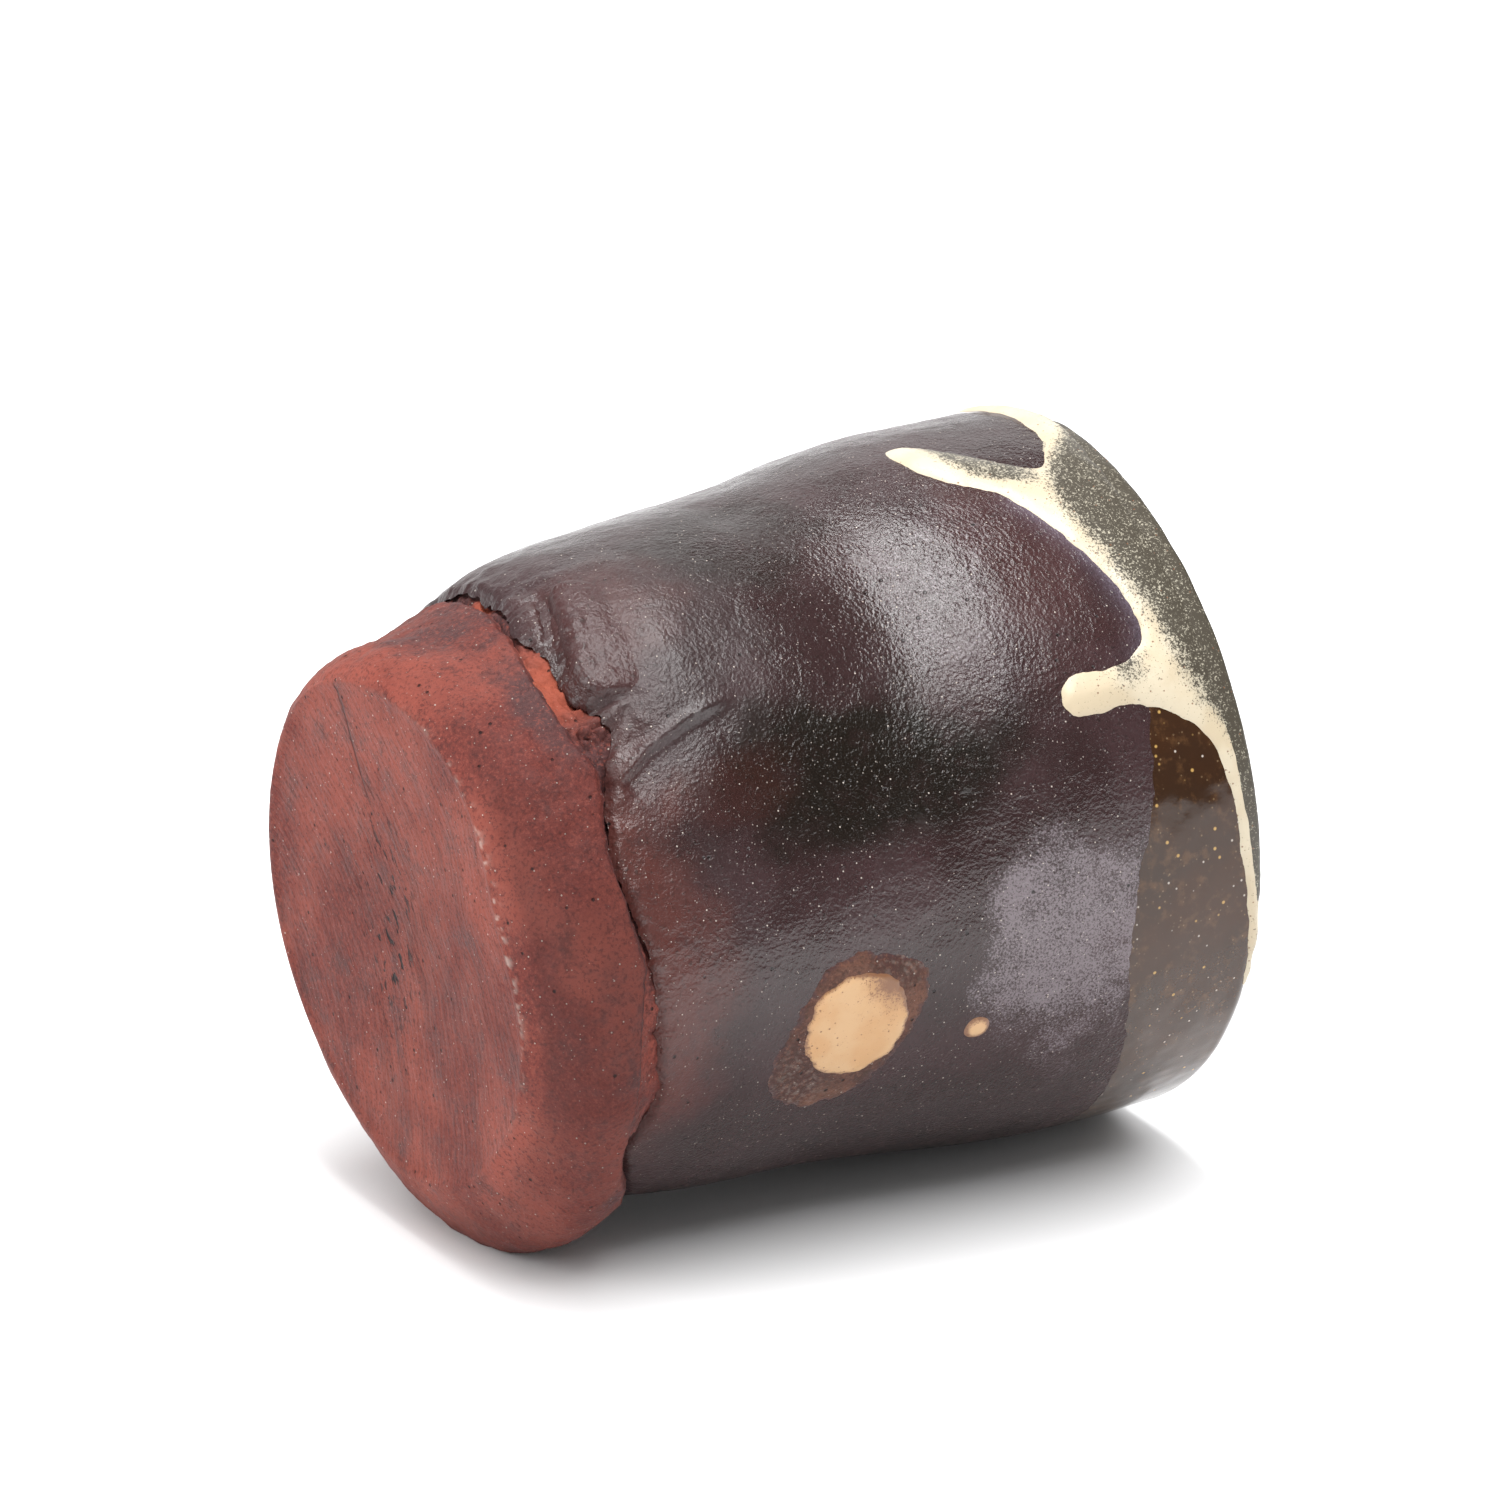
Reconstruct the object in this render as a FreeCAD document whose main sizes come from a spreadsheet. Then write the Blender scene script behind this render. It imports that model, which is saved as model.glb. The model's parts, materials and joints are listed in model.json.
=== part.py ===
import FreeCAD, Part
import math
import os

import Sketcher

# A small hand-thrown stoneware sake cup, lying on its side.
# Every form is drawn upright: +Z runs from the cut foot face to the mouth, and
# +X is the side the cup is lying on.  The finished pieces are then all laid
# down together, so that +Z is up and +X points from the foot to the mouth.

doc = FreeCAD.newDocument("lying_sake_cup")
sheet = doc.addObject("Spreadsheet::Sheet", "Sizes")

SIZES = [
    # name, value in mm or degrees, meaning
    ("cup_height", 68.0, "foot face to lip"),
    ("mouth_radius", 31.3, "outside, over the glaze, at the lip"),
    ("foot_radius", 22.4, "string-cut foot face"),
    ("block_height", 10.4, "thick foot block"),
    ("seam_height", 12.4, "where the thrown wall starts"),
    ("spigot_radius", 19.0, "neck of clay inside the seam"),
    ("glaze", 0.8, "outside glaze"),
    ("lining", 0.6, "inside glaze"),
    ("run", 0.55, "raised ash glaze over the base glaze"),
    ("film", 0.25, "thin ash film over the base glaze"),
    ("wall_low", 4.6, "clay wall near the floor"),
    ("wall_lip", 2.2, "clay wall at the lip"),
    ("floor_height", 17.6, "clay floor of the inside"),
    ("lip_round", 1.25, "outer edge of the lip"),
    ("glaze_line", 56.0, "height where the amber rim glaze starts"),
    ("skin_top", 66.6, "upper end of the ash run and film"),
    ("pool_depth", 1.4, "glaze pooled in the bottom"),
    ("sag_angle", -23.0, "side the foot has sagged towards"),
    ("heel_sag", 1.8, "sag of the heel"),
    ("collar_sag", 2.4, "sag of the collar"),
    ("block_sag", 1.4, "sag at the top of the block"),
    ("wall_sag", -0.6, "lean of the waist away from the sag"),
    ("thumb_hollow", 1.5, "pressed hollow on the front"),
    ("shoulder_swell", 0.9, "swelling above the seam"),
    ("valley", 0.8, "shallow valley on the upper side"),
    ("ledge", 1.3, "seam clay standing proud at the front"),
    ("rest_depth", 0.45, "flat worn where the cup lies"),
    ("lie_angle", 2.45, "slope of the cup's axis when lying"),
    ("shift_along", -34.14, "puts the middle of the length at zero"),
    ("shift_across", 0.19, "puts the middle of the width at zero"),
    ("rest_radius", 29.1, "collar radius above the resting place"),
    ("rest_height", 5.4, "height on the cup of that place"),
    ("pole_gain", 1.0468, "control polygon over curve radius"),
]
for row, (name, value, note) in enumerate(SIZES, start=1):
    sheet.set("A%d" % row, name)
    sheet.set("B%d" % row, str(value))
    sheet.set("C%d" % row, note)
    sheet.setAlias("B%d" % row, name)
doc.recompute()

POLES = 12
STEP = 360 // POLES

# Rings of the wall: share of the way from seam to lip, radius as a share of the
# mouth radius, share of the wall's lean, and what is pressed in or out at the
# named turn (degrees).
WALL_RINGS = [
    (0.000, 0.842, 0.3, {210: "Sizes.shoulder_swell * 0.4"}),
    (0.125, 0.903, 1.1, {210: "Sizes.shoulder_swell", 240: "-Sizes.thumb_hollow * 0.7"}),
    (0.250, 0.922, 1.3, {210: "Sizes.shoulder_swell * 0.5", 240: "-Sizes.thumb_hollow"}),
    (0.375, 0.934, 1.1, {180: "-Sizes.valley * 0.8", 240: "-Sizes.thumb_hollow * 0.8"}),
    (0.500, 0.955, 0.8, {180: "-Sizes.valley", 240: "-Sizes.thumb_hollow * 0.5"}),
    (0.625, 0.984, 0.6, {180: "-Sizes.valley * 0.3"}),
    (0.750, 1.002, 0.4, {}),
    (0.875, 1.004, 0.2, {}),
    (1.000, 1.000, 0.1, {}),
]

# Rings of the foot block: share of its height, radius as a share of the foot
# radius, and its sag.
FOOT_RINGS = [
    (0.00, 1.000, "0", {}),
    (0.25, 1.130, "Sizes.heel_sag", {}),
    (0.50, 1.192, "Sizes.collar_sag", {}),
    (0.75, 1.208, "Sizes.collar_sag * 0.9", {}),
    (1.00, 1.165, "Sizes.block_sag", {}),
]

# Rings of the seam clay: share of the seam's height and radius as a share of
# the foot radius.
SEAM_RINGS = [
    (0.00, 1.140, {270: "Sizes.ledge * 0.8", 300: "Sizes.ledge"}),
    (0.50, 1.180, {270: "Sizes.ledge", 300: "Sizes.ledge * 1.2"}),
    (1.00, 1.130, {270: "Sizes.ledge * 0.7", 300: "Sizes.ledge * 0.8"}),
]


def origin_plane(body, role):
    """The origin plane of a body, by its role."""
    for feature in body.Origin.OriginFeatures:
        if feature.Role == role:
            return feature
    raise ValueError(role)


def new_body(name):
    """An empty body."""
    return doc.addObject("PartDesign::Body", name)


def new_sketch(body, name, role, lift=None):
    """A sketch on one origin plane, moved along the plane's normal by lift."""
    sketch = body.newObject("Sketcher::SketchObject", name)
    sketch.AttachmentSupport = [(origin_plane(body, role), "")]
    sketch.MapMode = "FlatFace"
    if lift is not None:
        sketch.setExpression("AttachmentOffset.Base.z", lift)
    return sketch


def bind(sketch, constraint, name, expression):
    """Add a named constraint and tie it to the sheet."""
    index = sketch.addConstraint(constraint)
    sketch.renameConstraint(index, name)
    sketch.setExpression("Constraints." + name, expression)


def closed_curve(sketch, places):
    """A closed smooth curve; places are (x, y, x expression, y expression)."""
    vectors = [FreeCAD.Vector(x, y, 0) for x, y, _, _ in places]
    for vector in vectors:
        handle = sketch.addGeometry(Part.Circle(vector, FreeCAD.Vector(0, 0, 1), 1.0), True)
        sketch.addConstraint(Sketcher.Constraint("Weight", handle, 1.0))
    curve = Part.BSplineCurve(vectors, None, None, True, 3, None, False)
    spline = sketch.addGeometry(curve, False)
    for k, (_, _, across, upward) in enumerate(places):
        sketch.addConstraint(
            Sketcher.Constraint("InternalAlignment:Sketcher::BSplineControlPoint", k, 3, spline, k)
        )
        x, y = vectors[k].x, vectors[k].y
        bind(sketch, Sketcher.Constraint("DistanceX", -1, 1, k, 3, x), "x%d" % k, across)
        bind(sketch, Sketcher.Constraint("DistanceY", -1, 1, k, 3, y), "y%d" % k, upward)


def ring(body, name, lift, radius, sag, dents):
    """One ring of a hand-made form: a smooth closed curve round the axis."""
    sketch = new_sketch(body, name, "XY_Plane", lift)
    places = []
    for k in range(POLES):
        turn = k * STEP
        reach = "(Sizes.pole_gain * (%s) + %s)" % (radius, dents.get(turn, "0"))
        across = "(%s) * cos(Sizes.sag_angle) + %s * cos(%d)" % (sag, reach, turn)
        upward = "(%s) * sin(Sizes.sag_angle) + %s * sin(%d)" % (sag, reach, turn)
        x = 30 * math.cos(math.radians(turn))
        y = 30 * math.sin(math.radians(turn))
        places.append((x, y, across, upward))
    closed_curve(sketch, places)
    return sketch


def loft(body, name, rings):
    """A smooth solid through the rings."""
    feature = body.newObject("PartDesign::AdditiveLoft", name)
    feature.Profile = rings[0]
    feature.Sections = rings[1:]
    for sketch in rings:
        sketch.Visibility = False
    doc.recompute()
    return feature


def wall_form(name, offset, start, end):
    """The wall's outer form moved out by offset, from height start to end."""
    body = new_body(name)
    rings = []
    for i, (share, radius, lean, dents) in enumerate(WALL_RINGS):
        height = "%s + (%s - (%s)) * %.3f" % (start, end, start, share)
        size = "Sizes.mouth_radius * %.3f + %s" % (radius, offset.replace("SHARE", "%.3f" % share))
        sag = "Sizes.wall_sag * %.1f" % lean
        rings.append(ring(body, "%s_ring_%d" % (name, i), height, size, sag, dents))
    loft(body, name + "_loft", rings)
    return body


def round_lip(body, name):
    """Turn the outer edge of the lip to a soft round."""
    sketch = new_sketch(body, name + "_profile", "XZ_Plane")
    middle = FreeCAD.Vector(30.1, 66.85, 0)
    round_circle = Part.Circle(middle, FreeCAD.Vector(0, 0, 1), 1.25)
    sketch.addGeometry(Part.ArcOfCircle(round_circle, 0.0, math.pi / 2), False)
    corners = [(30.1, 68.1), (30.1, 70.0), (33.0, 70.0), (33.0, 66.85), (31.35, 66.85)]
    for first, second in zip(corners, corners[1:]):
        start = FreeCAD.Vector(first[0], first[1], 0)
        end = FreeCAD.Vector(second[0], second[1], 0)
        sketch.addGeometry(Part.LineSegment(start, end), False)
    sketch.addConstraint(Sketcher.Constraint("Coincident", 0, 2, 1, 1))
    sketch.addConstraint(Sketcher.Constraint("Coincident", 1, 2, 2, 1))
    sketch.addConstraint(Sketcher.Constraint("Coincident", 2, 2, 3, 1))
    sketch.addConstraint(Sketcher.Constraint("Coincident", 3, 2, 4, 1))
    sketch.addConstraint(Sketcher.Constraint("Coincident", 4, 2, 0, 1))
    for line, kind in ((1, "Vertical"), (2, "Horizontal"), (3, "Vertical"), (4, "Horizontal")):
        sketch.addConstraint(Sketcher.Constraint(kind, line))
    bind(sketch, Sketcher.Constraint("Radius", 0, 1.25), "soft", "Sizes.lip_round")
    middle_out = "Sizes.mouth_radius + 0.05 - Sizes.lip_round"
    middle_up = "Sizes.cup_height + 0.1 - Sizes.lip_round"
    bind(sketch, Sketcher.Constraint("DistanceX", -1, 1, 0, 3, 30.1), "out", middle_out)
    bind(sketch, Sketcher.Constraint("DistanceY", -1, 1, 0, 3, 66.85), "up", middle_up)
    bind(sketch, Sketcher.Constraint("DistanceY", -1, 1, 2, 2, 70.0), "clear", "Sizes.cup_height + 2")
    bind(sketch, Sketcher.Constraint("DistanceX", -1, 1, 2, 2, 33.0), "wide", "Sizes.mouth_radius + 2")
    groove = body.newObject("PartDesign::Groove", name)
    groove.Profile = sketch
    groove.ReferenceAxis = (sketch, ["V_Axis"])
    groove.Angle = 360.0
    sketch.Visibility = False
    doc.recompute()
    return groove


def slab(name, bottom, top):
    """A wide flat slab between two heights, used to part one form by height."""
    body = new_body(name)
    sketch = new_sketch(body, name + "_outline", "XY_Plane", bottom)
    handle = sketch.addGeometry(Part.Circle(FreeCAD.Vector(), FreeCAD.Vector(0, 0, 1), 60.0), False)
    bind(sketch, Sketcher.Constraint("Radius", handle, 60.0), "reach", "Sizes.mouth_radius * 2")
    sketch.addConstraint(Sketcher.Constraint("Coincident", handle, 3, -1, 1))
    pad = body.newObject("PartDesign::Pad", name + "_pad")
    pad.Profile = sketch
    pad.setExpression("Length", "(%s) - (%s)" % (top, bottom))
    sketch.Visibility = False
    doc.recompute()
    return body


def closed_polygon(sketch, places):
    """A closed outline of straight edges; places as for closed_curve."""
    count = len(places)
    for k in range(count):
        here, onward = places[k], places[(k + 1) % count]
        start = FreeCAD.Vector(here[0], here[1], 0)
        end = FreeCAD.Vector(onward[0], onward[1], 0)
        sketch.addGeometry(Part.LineSegment(start, end), False)
    for k in range(count):
        sketch.addConstraint(Sketcher.Constraint("Coincident", k, 2, (k + 1) % count, 1))
    for k, (x, y, across, upward) in enumerate(places):
        bind(sketch, Sketcher.Constraint("DistanceX", -1, 1, k, 1, x), "x%d" % k, across)
        bind(sketch, Sketcher.Constraint("DistanceY", -1, 1, k, 1, y), "y%d" % k, upward)


def patch(name, facing, outline, draw):
    """A block whose outline, seen from the turn called facing, marks a patch.

    Each outline place is (turn in degrees, share of the cup's height), and draw
    joins the places up.
    """
    body = new_body(name)
    sketch = new_sketch(body, name + "_outline", "XZ_Plane")
    places = []
    for turn, share in outline:
        side = math.sin(math.radians(turn - facing))
        across = "Sizes.mouth_radius * sin(%.1f)" % (turn - facing)
        upward = "Sizes.cup_height * %.3f" % share
        places.append((30 * side, 68 * share, across, upward))
    draw(sketch, places)
    pad = body.newObject("PartDesign::Pad", name + "_pad")
    pad.Profile = sketch
    pad.setExpression("Length", "Sizes.mouth_radius * 1.5")
    sketch.Visibility = False
    doc.recompute()
    if pad.Shape.BoundBox.YMax > 1.0:
        pad.Reversed = True
        doc.recompute()
    turned = FreeCAD.Rotation(FreeCAD.Vector(0, 0, 1), facing + 90)
    body.Placement = FreeCAD.Placement(FreeCAD.Vector(), turned)
    doc.recompute()
    return body


def cut(name, base, tool):
    """Base with the tool taken away."""
    feature = doc.addObject("Part::Cut", name)
    feature.Base = base
    feature.Tool = tool
    doc.recompute()
    return feature


def common(name, first, second):
    """The space two forms share."""
    feature = doc.addObject("Part::Common", name)
    feature.Base = first
    feature.Tool = second
    doc.recompute()
    return feature


# ---- forms the pieces are cut from -------------------------------------------------

CLAY_TOP = "(Sizes.cup_height - Sizes.glaze)"
CLAY_FLOOR = "Sizes.floor_height"
THIN = "(Sizes.wall_low + (Sizes.wall_lip - Sizes.wall_low) * SHARE)"

clay_form = wall_form("clay_form", "0 - Sizes.glaze", "Sizes.seam_height", CLAY_TOP)
spigot_sketch = new_sketch(clay_form, "spigot_outline", "XY_Plane", "Sizes.block_height")
circle = spigot_sketch.addGeometry(Part.Circle(FreeCAD.Vector(), FreeCAD.Vector(0, 0, 1), 19.0), False)
spigot_sketch.addConstraint(Sketcher.Constraint("Coincident", circle, 3, -1, 1))
bind(spigot_sketch, Sketcher.Constraint("Radius", circle, 19.0), "reach", "Sizes.spigot_radius")
spigot = clay_form.newObject("PartDesign::Pad", "spigot")
spigot.Profile = spigot_sketch
spigot.setExpression("Length", "Sizes.seam_height - Sizes.block_height")
spigot_sketch.Visibility = False
doc.recompute()

glazed_form = wall_form("glazed_form", "0", "Sizes.seam_height", "Sizes.cup_height")
round_lip(glazed_form, "soft_lip")
raised_form = wall_form("raised_form", "Sizes.run", "Sizes.seam_height", "Sizes.cup_height")
filmed_form = wall_form("filmed_form", "Sizes.film", "Sizes.seam_height", "Sizes.cup_height")
hollow_form = wall_form(
    "hollow_form", "0 - Sizes.glaze - " + THIN, CLAY_FLOOR, "(Sizes.cup_height + 4)"
)
lined_form = wall_form(
    "lined_form",
    "0 - Sizes.glaze - Sizes.lining - " + THIN,
    "(Sizes.floor_height + Sizes.lining)",
    "(Sizes.cup_height + 4)",
)

foot_form = new_body("foot_form")
foot_rings = []
for i, (share, radius, sag, dents) in enumerate(FOOT_RINGS):
    height = "Sizes.block_height * %.2f" % share
    size = "Sizes.foot_radius * %.3f" % radius
    foot_rings.append(ring(foot_form, "foot_ring_%d" % i, height, size, sag, dents))
loft(foot_form, "foot_loft", foot_rings)

seam_form = new_body("seam_form")
seam_rings = []
for i, (share, radius, dents) in enumerate(SEAM_RINGS):
    height = "Sizes.block_height + (Sizes.seam_height - Sizes.block_height) * %.2f" % share
    size = "Sizes.foot_radius * %.3f" % radius
    sag = "Sizes.block_sag * %.1f" % (0.8 * (1 - share))
    seam_rings.append(ring(seam_form, "seam_ring_%d" % i, height, size, sag, dents))
loft(seam_form, "seam_loft", seam_rings)

# The resting plane: everything on the +X side of it is rubbed away.
rest_form = new_body("rest_form")
rest_sketch = new_sketch(rest_form, "rest_outline", "XZ_Plane")
corners = [(0, -40), (30, -40), (30, 110), (0, 110)]
for k in range(4):
    start = FreeCAD.Vector(corners[k][0], corners[k][1], 0)
    end = FreeCAD.Vector(corners[(k + 1) % 4][0], corners[(k + 1) % 4][1], 0)
    rest_sketch.addGeometry(Part.LineSegment(start, end), False)
for k in range(4):
    rest_sketch.addConstraint(Sketcher.Constraint("Coincident", k, 2, (k + 1) % 4, 1))
for k, kind in enumerate(("Horizontal", "Vertical", "Horizontal", "Vertical")):
    rest_sketch.addConstraint(Sketcher.Constraint(kind, k))
bind(rest_sketch, Sketcher.Constraint("DistanceX", -1, 1, 0, 1, 0.0), "near", "0")
bind(rest_sketch, Sketcher.Constraint("DistanceX", 0, 1, 0, 2, 30.0), "deep", "Sizes.mouth_radius")
bind(rest_sketch, Sketcher.Constraint("DistanceY", 0, 1, -1, 1, 40.0), "below", "Sizes.cup_height * 0.6")
bind(rest_sketch, Sketcher.Constraint("DistanceY", 1, 1, 1, 2, 150.0), "tall", "Sizes.cup_height * 2.2")
rest_pad = rest_form.newObject("PartDesign::Pad", "rest_pad")
rest_pad.Profile = rest_sketch
rest_pad.setExpression("Length", "Sizes.mouth_radius * 2")
if hasattr(rest_pad, "SideType"):
    rest_pad.SideType = "Symmetric"
else:
    rest_pad.Midplane = True
rest_sketch.Visibility = False
rest_form.Placement = FreeCAD.Placement(FreeCAD.Vector(29, 0, 6), FreeCAD.Rotation(0, 2, 0))
rest_form.setExpression("Placement.Base.x", "Sizes.rest_radius - Sizes.rest_depth")
rest_form.setExpression("Placement.Base.z", "Sizes.rest_height")
rest_form.setExpression("Placement.Rotation.Axis.x", "0")
rest_form.setExpression("Placement.Rotation.Axis.y", "1")
rest_form.setExpression("Placement.Rotation.Axis.z", "0")
rest_form.setExpression("Placement.Rotation.Angle", "Sizes.lie_angle")
doc.recompute()

# Outlines of the surface patches: (turn, share of the cup's height).
RUN_OUTLINE = [
    (-205, 0.960), (-196, 0.945), (-186, 0.935), (-177, 0.905), (-172, 0.850), (-176, 0.800),
    (-184, 0.772), (-184, 0.748), (-176, 0.745), (-166, 0.790), (-156, 0.835), (-145, 0.865),
    (-134, 0.888), (-128, 0.860), (-127, 0.800), (-127, 0.762), (-121, 0.758), (-119, 0.810),
    (-119, 0.880), (-114, 0.925), (-104, 0.952), (-92, 0.957), (-80, 0.966), (-66, 0.976),
    (-80, 0.979), (-95, 0.976), (-108, 0.972), (-120, 0.958), (-133, 0.945), (-148, 0.928),
    (-160, 0.925), (-170, 0.945), (-178, 0.968), (-190, 0.975),
]
FILM_OUTLINE = [
    (-172, 0.960), (-160, 0.900), (-145, 0.890), (-130, 0.915), (-116, 0.930), (-100, 0.955),
    (-100, 0.990), (-120, 0.992), (-140, 0.992), (-160, 0.990), (-172, 0.985),
]
FLAP_OUTLINE = [
    (-176, 0.172), (-166, 0.168), (-156, 0.160), (-146, 0.165), (-141, 0.195), (-144, 0.230),
    (-155, 0.245), (-168, 0.240), (-177, 0.215),
]
BIG_SPOT_OUTLINE = [
    (-88, 0.430), (-84, 0.475), (-77, 0.500), (-70, 0.485), (-66, 0.440), (-69, 0.385),
    (-77, 0.355), (-85, 0.375),
]
HALO_OUTLINE = [
    (-91, 0.420), (-88, 0.495), (-80, 0.530), (-70, 0.510), (-62, 0.450), (-60, 0.380),
    (-66, 0.315), (-75, 0.310), (-86, 0.350),
]
SMALL_SPOT_OUTLINE = [
    (-75.5, 0.598), (-74, 0.615), (-72, 0.622), (-69.5, 0.615), (-68.5, 0.598), (-69.5, 0.582),
    (-72, 0.575), (-74.5, 0.582),
]
run_patch = patch("run_patch", -136, RUN_OUTLINE, closed_polygon)
film_patch = patch("film_patch", -136, FILM_OUTLINE, closed_curve)
flap_patch = patch("flap_patch", -158, FLAP_OUTLINE, closed_curve)
big_spot_patch = patch("big_spot_patch", -77, BIG_SPOT_OUTLINE, closed_curve)
halo_patch = patch("halo_patch", -77, HALO_OUTLINE, closed_curve)
small_spot_patch = patch("small_spot_patch", -72, SMALL_SPOT_OUTLINE, closed_curve)

below_lip = slab("below_lip", "Sizes.seam_height - 1", CLAY_TOP)
upper_band = slab("upper_band", "Sizes.glaze_line", "Sizes.cup_height + 2")
lower_band = slab("lower_band", "Sizes.seam_height - 1", "Sizes.glaze_line")
skin_band = slab("skin_band", "Sizes.seam_height - 1", "Sizes.skin_top")
pool_band = slab("pool_band", "Sizes.floor_height - 1", "Sizes.floor_height + Sizes.lining + Sizes.pool_depth")

# ---- the pieces --------------------------------------------------------------------

foot_block = cut("foot_block", foot_form, rest_form)
seam_coil = cut("seam_coil", seam_form, clay_form)
cup_wall = cut("cup_wall", clay_form, hollow_form)

flap_shell = cut("flap_shell", raised_form, clay_form)
clay_flap = common("clay_flap", flap_shell, flap_patch)

body_full = common("body_full", glazed_form, lower_band)
body_shell = cut("body_shell", body_full, clay_form)
body_open = cut("body_open", body_shell, flap_patch)
body_glaze = cut("body_glaze", body_open, rest_form)

rim_full = common("rim_full", glazed_form, upper_band)
rim_shell = cut("rim_shell", rim_full, clay_form)
rim_open = cut("rim_open", rim_shell, lined_form)
rim_glaze = cut("rim_glaze", rim_open, rest_form)

hollow_low = common("hollow_low", hollow_form, below_lip)
inner_glaze = cut("inner_glaze", hollow_low, lined_form)
glaze_pool = common("glaze_pool", lined_form, pool_band)

raised_low = common("raised_low", raised_form, skin_band)
run_block = common("run_block", raised_low, run_patch)
cream_run = cut("cream_run", run_block, glazed_form)
large_block = common("large_block", raised_low, big_spot_patch)
cream_spot_large = cut("cream_spot_large", large_block, glazed_form)
small_block = common("small_block", raised_low, small_spot_patch)
cream_spot_small = cut("cream_spot_small", small_block, glazed_form)

filmed_low = common("filmed_low", filmed_form, skin_band)
film_block = common("film_block", filmed_low, film_patch)
film_skin = cut("film_skin", film_block, glazed_form)
ash_film = cut("ash_film", film_skin, run_patch)
halo_block = common("halo_block", filmed_low, halo_patch)
halo_skin = cut("halo_skin", halo_block, glazed_form)
spot_halo = cut("spot_halo", halo_skin, big_spot_patch)

PIECES = [
    foot_block, seam_coil, clay_flap, cup_wall, body_glaze, rim_glaze, inner_glaze,
    glaze_pool, cream_run, ash_film, cream_spot_large, cream_spot_small, spot_halo,
]

# ---- lay the cup down --------------------------------------------------------------

LIFT = (
    "(Sizes.rest_radius - Sizes.rest_depth) * cos(Sizes.lie_angle)"
    " - Sizes.rest_height * sin(Sizes.lie_angle)"
)
for piece in PIECES:
    piece.Label = piece.Name
    piece.Placement = FreeCAD.Placement(FreeCAD.Vector(), FreeCAD.Rotation(FreeCAD.Vector(0, 1, 0), 88))
    piece.setExpression("Placement.Base.x", "Sizes.shift_along")
    piece.setExpression("Placement.Base.y", "Sizes.shift_across")
    piece.setExpression("Placement.Base.z", LIFT)
    piece.setExpression("Placement.Rotation.Angle", "90 - Sizes.lie_angle")
doc.recompute()

# ---- check and write ---------------------------------------------------------------

for item in doc.Objects:
    if "Invalid" in item.State or "Error" in item.State:
        raise RuntimeError("%s did not build: %s" % (item.Name, item.State))
os.makedirs("parts", exist_ok=True)
for piece in PIECES:
    shape = piece.Shape
    if shape.isNull() or not shape.isValid() or not shape.Solids:
        raise RuntimeError("%s is not a sound solid" % piece.Label)
    shape.exportStep("parts/%s.step" % piece.Label)
    print("%-18s solids %d  %8.1f mm3" % (piece.Label, len(shape.Solids), shape.Volume))
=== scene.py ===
"""A small stoneware sake cup lying on its side on a white table, in soft studio light."""

import json
import logging
import math
from dataclasses import dataclass, field
from enum import Enum
from typing import Callable, Sequence

import bpy
import numpy as np
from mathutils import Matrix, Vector, noise


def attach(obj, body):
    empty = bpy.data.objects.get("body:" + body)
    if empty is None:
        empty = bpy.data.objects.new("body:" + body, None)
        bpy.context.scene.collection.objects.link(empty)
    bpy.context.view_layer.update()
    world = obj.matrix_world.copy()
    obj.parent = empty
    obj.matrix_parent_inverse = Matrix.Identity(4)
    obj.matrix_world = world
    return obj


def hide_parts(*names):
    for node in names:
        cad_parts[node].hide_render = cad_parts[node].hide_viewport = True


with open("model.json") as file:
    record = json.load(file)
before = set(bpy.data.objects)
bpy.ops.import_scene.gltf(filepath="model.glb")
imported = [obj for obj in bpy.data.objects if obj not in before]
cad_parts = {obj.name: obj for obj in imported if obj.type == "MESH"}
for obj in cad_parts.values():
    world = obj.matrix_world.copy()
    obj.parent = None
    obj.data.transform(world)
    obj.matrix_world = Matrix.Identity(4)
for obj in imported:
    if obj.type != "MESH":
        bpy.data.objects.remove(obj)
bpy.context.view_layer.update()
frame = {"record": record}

logging.basicConfig(level=logging.INFO, format="%(message)s")
LOG = logging.getLogger("cup")

MM = 0.001
RING_RADIUS = 28.0
Array = np.ndarray
Line = tuple[tuple[float, float], ...]
Surface = Callable[[Array, Array], tuple[Array, Array, Array]]
Socket = bpy.types.NodeSocket


# ---- small tools -------------------------------------------------------------------


def soft_step(value: Array, low: float, high: float) -> Array:
    """Zero below low, one above high and a smooth rise between.

    Args:
        value: numbers to judge.
        low: where the rise starts.
        high: where the rise ends.

    Returns:
        Numbers from 0 to 1.
    """
    share = stretch(value, low, high)
    return share * share * (3.0 - 2.0 * share)


def stretch(share: Array, start: float, end: float) -> Array:
    """How far share has come from start to end, held between 0 and 1.

    Args:
        share: numbers to judge.
        start: where the stretch starts.
        end: where it ends.

    Returns:
        Numbers from 0 to 1.
    """
    return np.clip((share - start) / (end - start), 0.0, 1.0)


def wrapped(turn: Array, middle: float) -> Array:
    """Degrees from middle round to turn, from -180 to 180.

    Args:
        turn: turns in degrees.
        middle: the turn to count from.

    Returns:
        Signed differences in degrees.
    """
    return (turn - middle + 180.0) % 360.0 - 180.0


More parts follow.
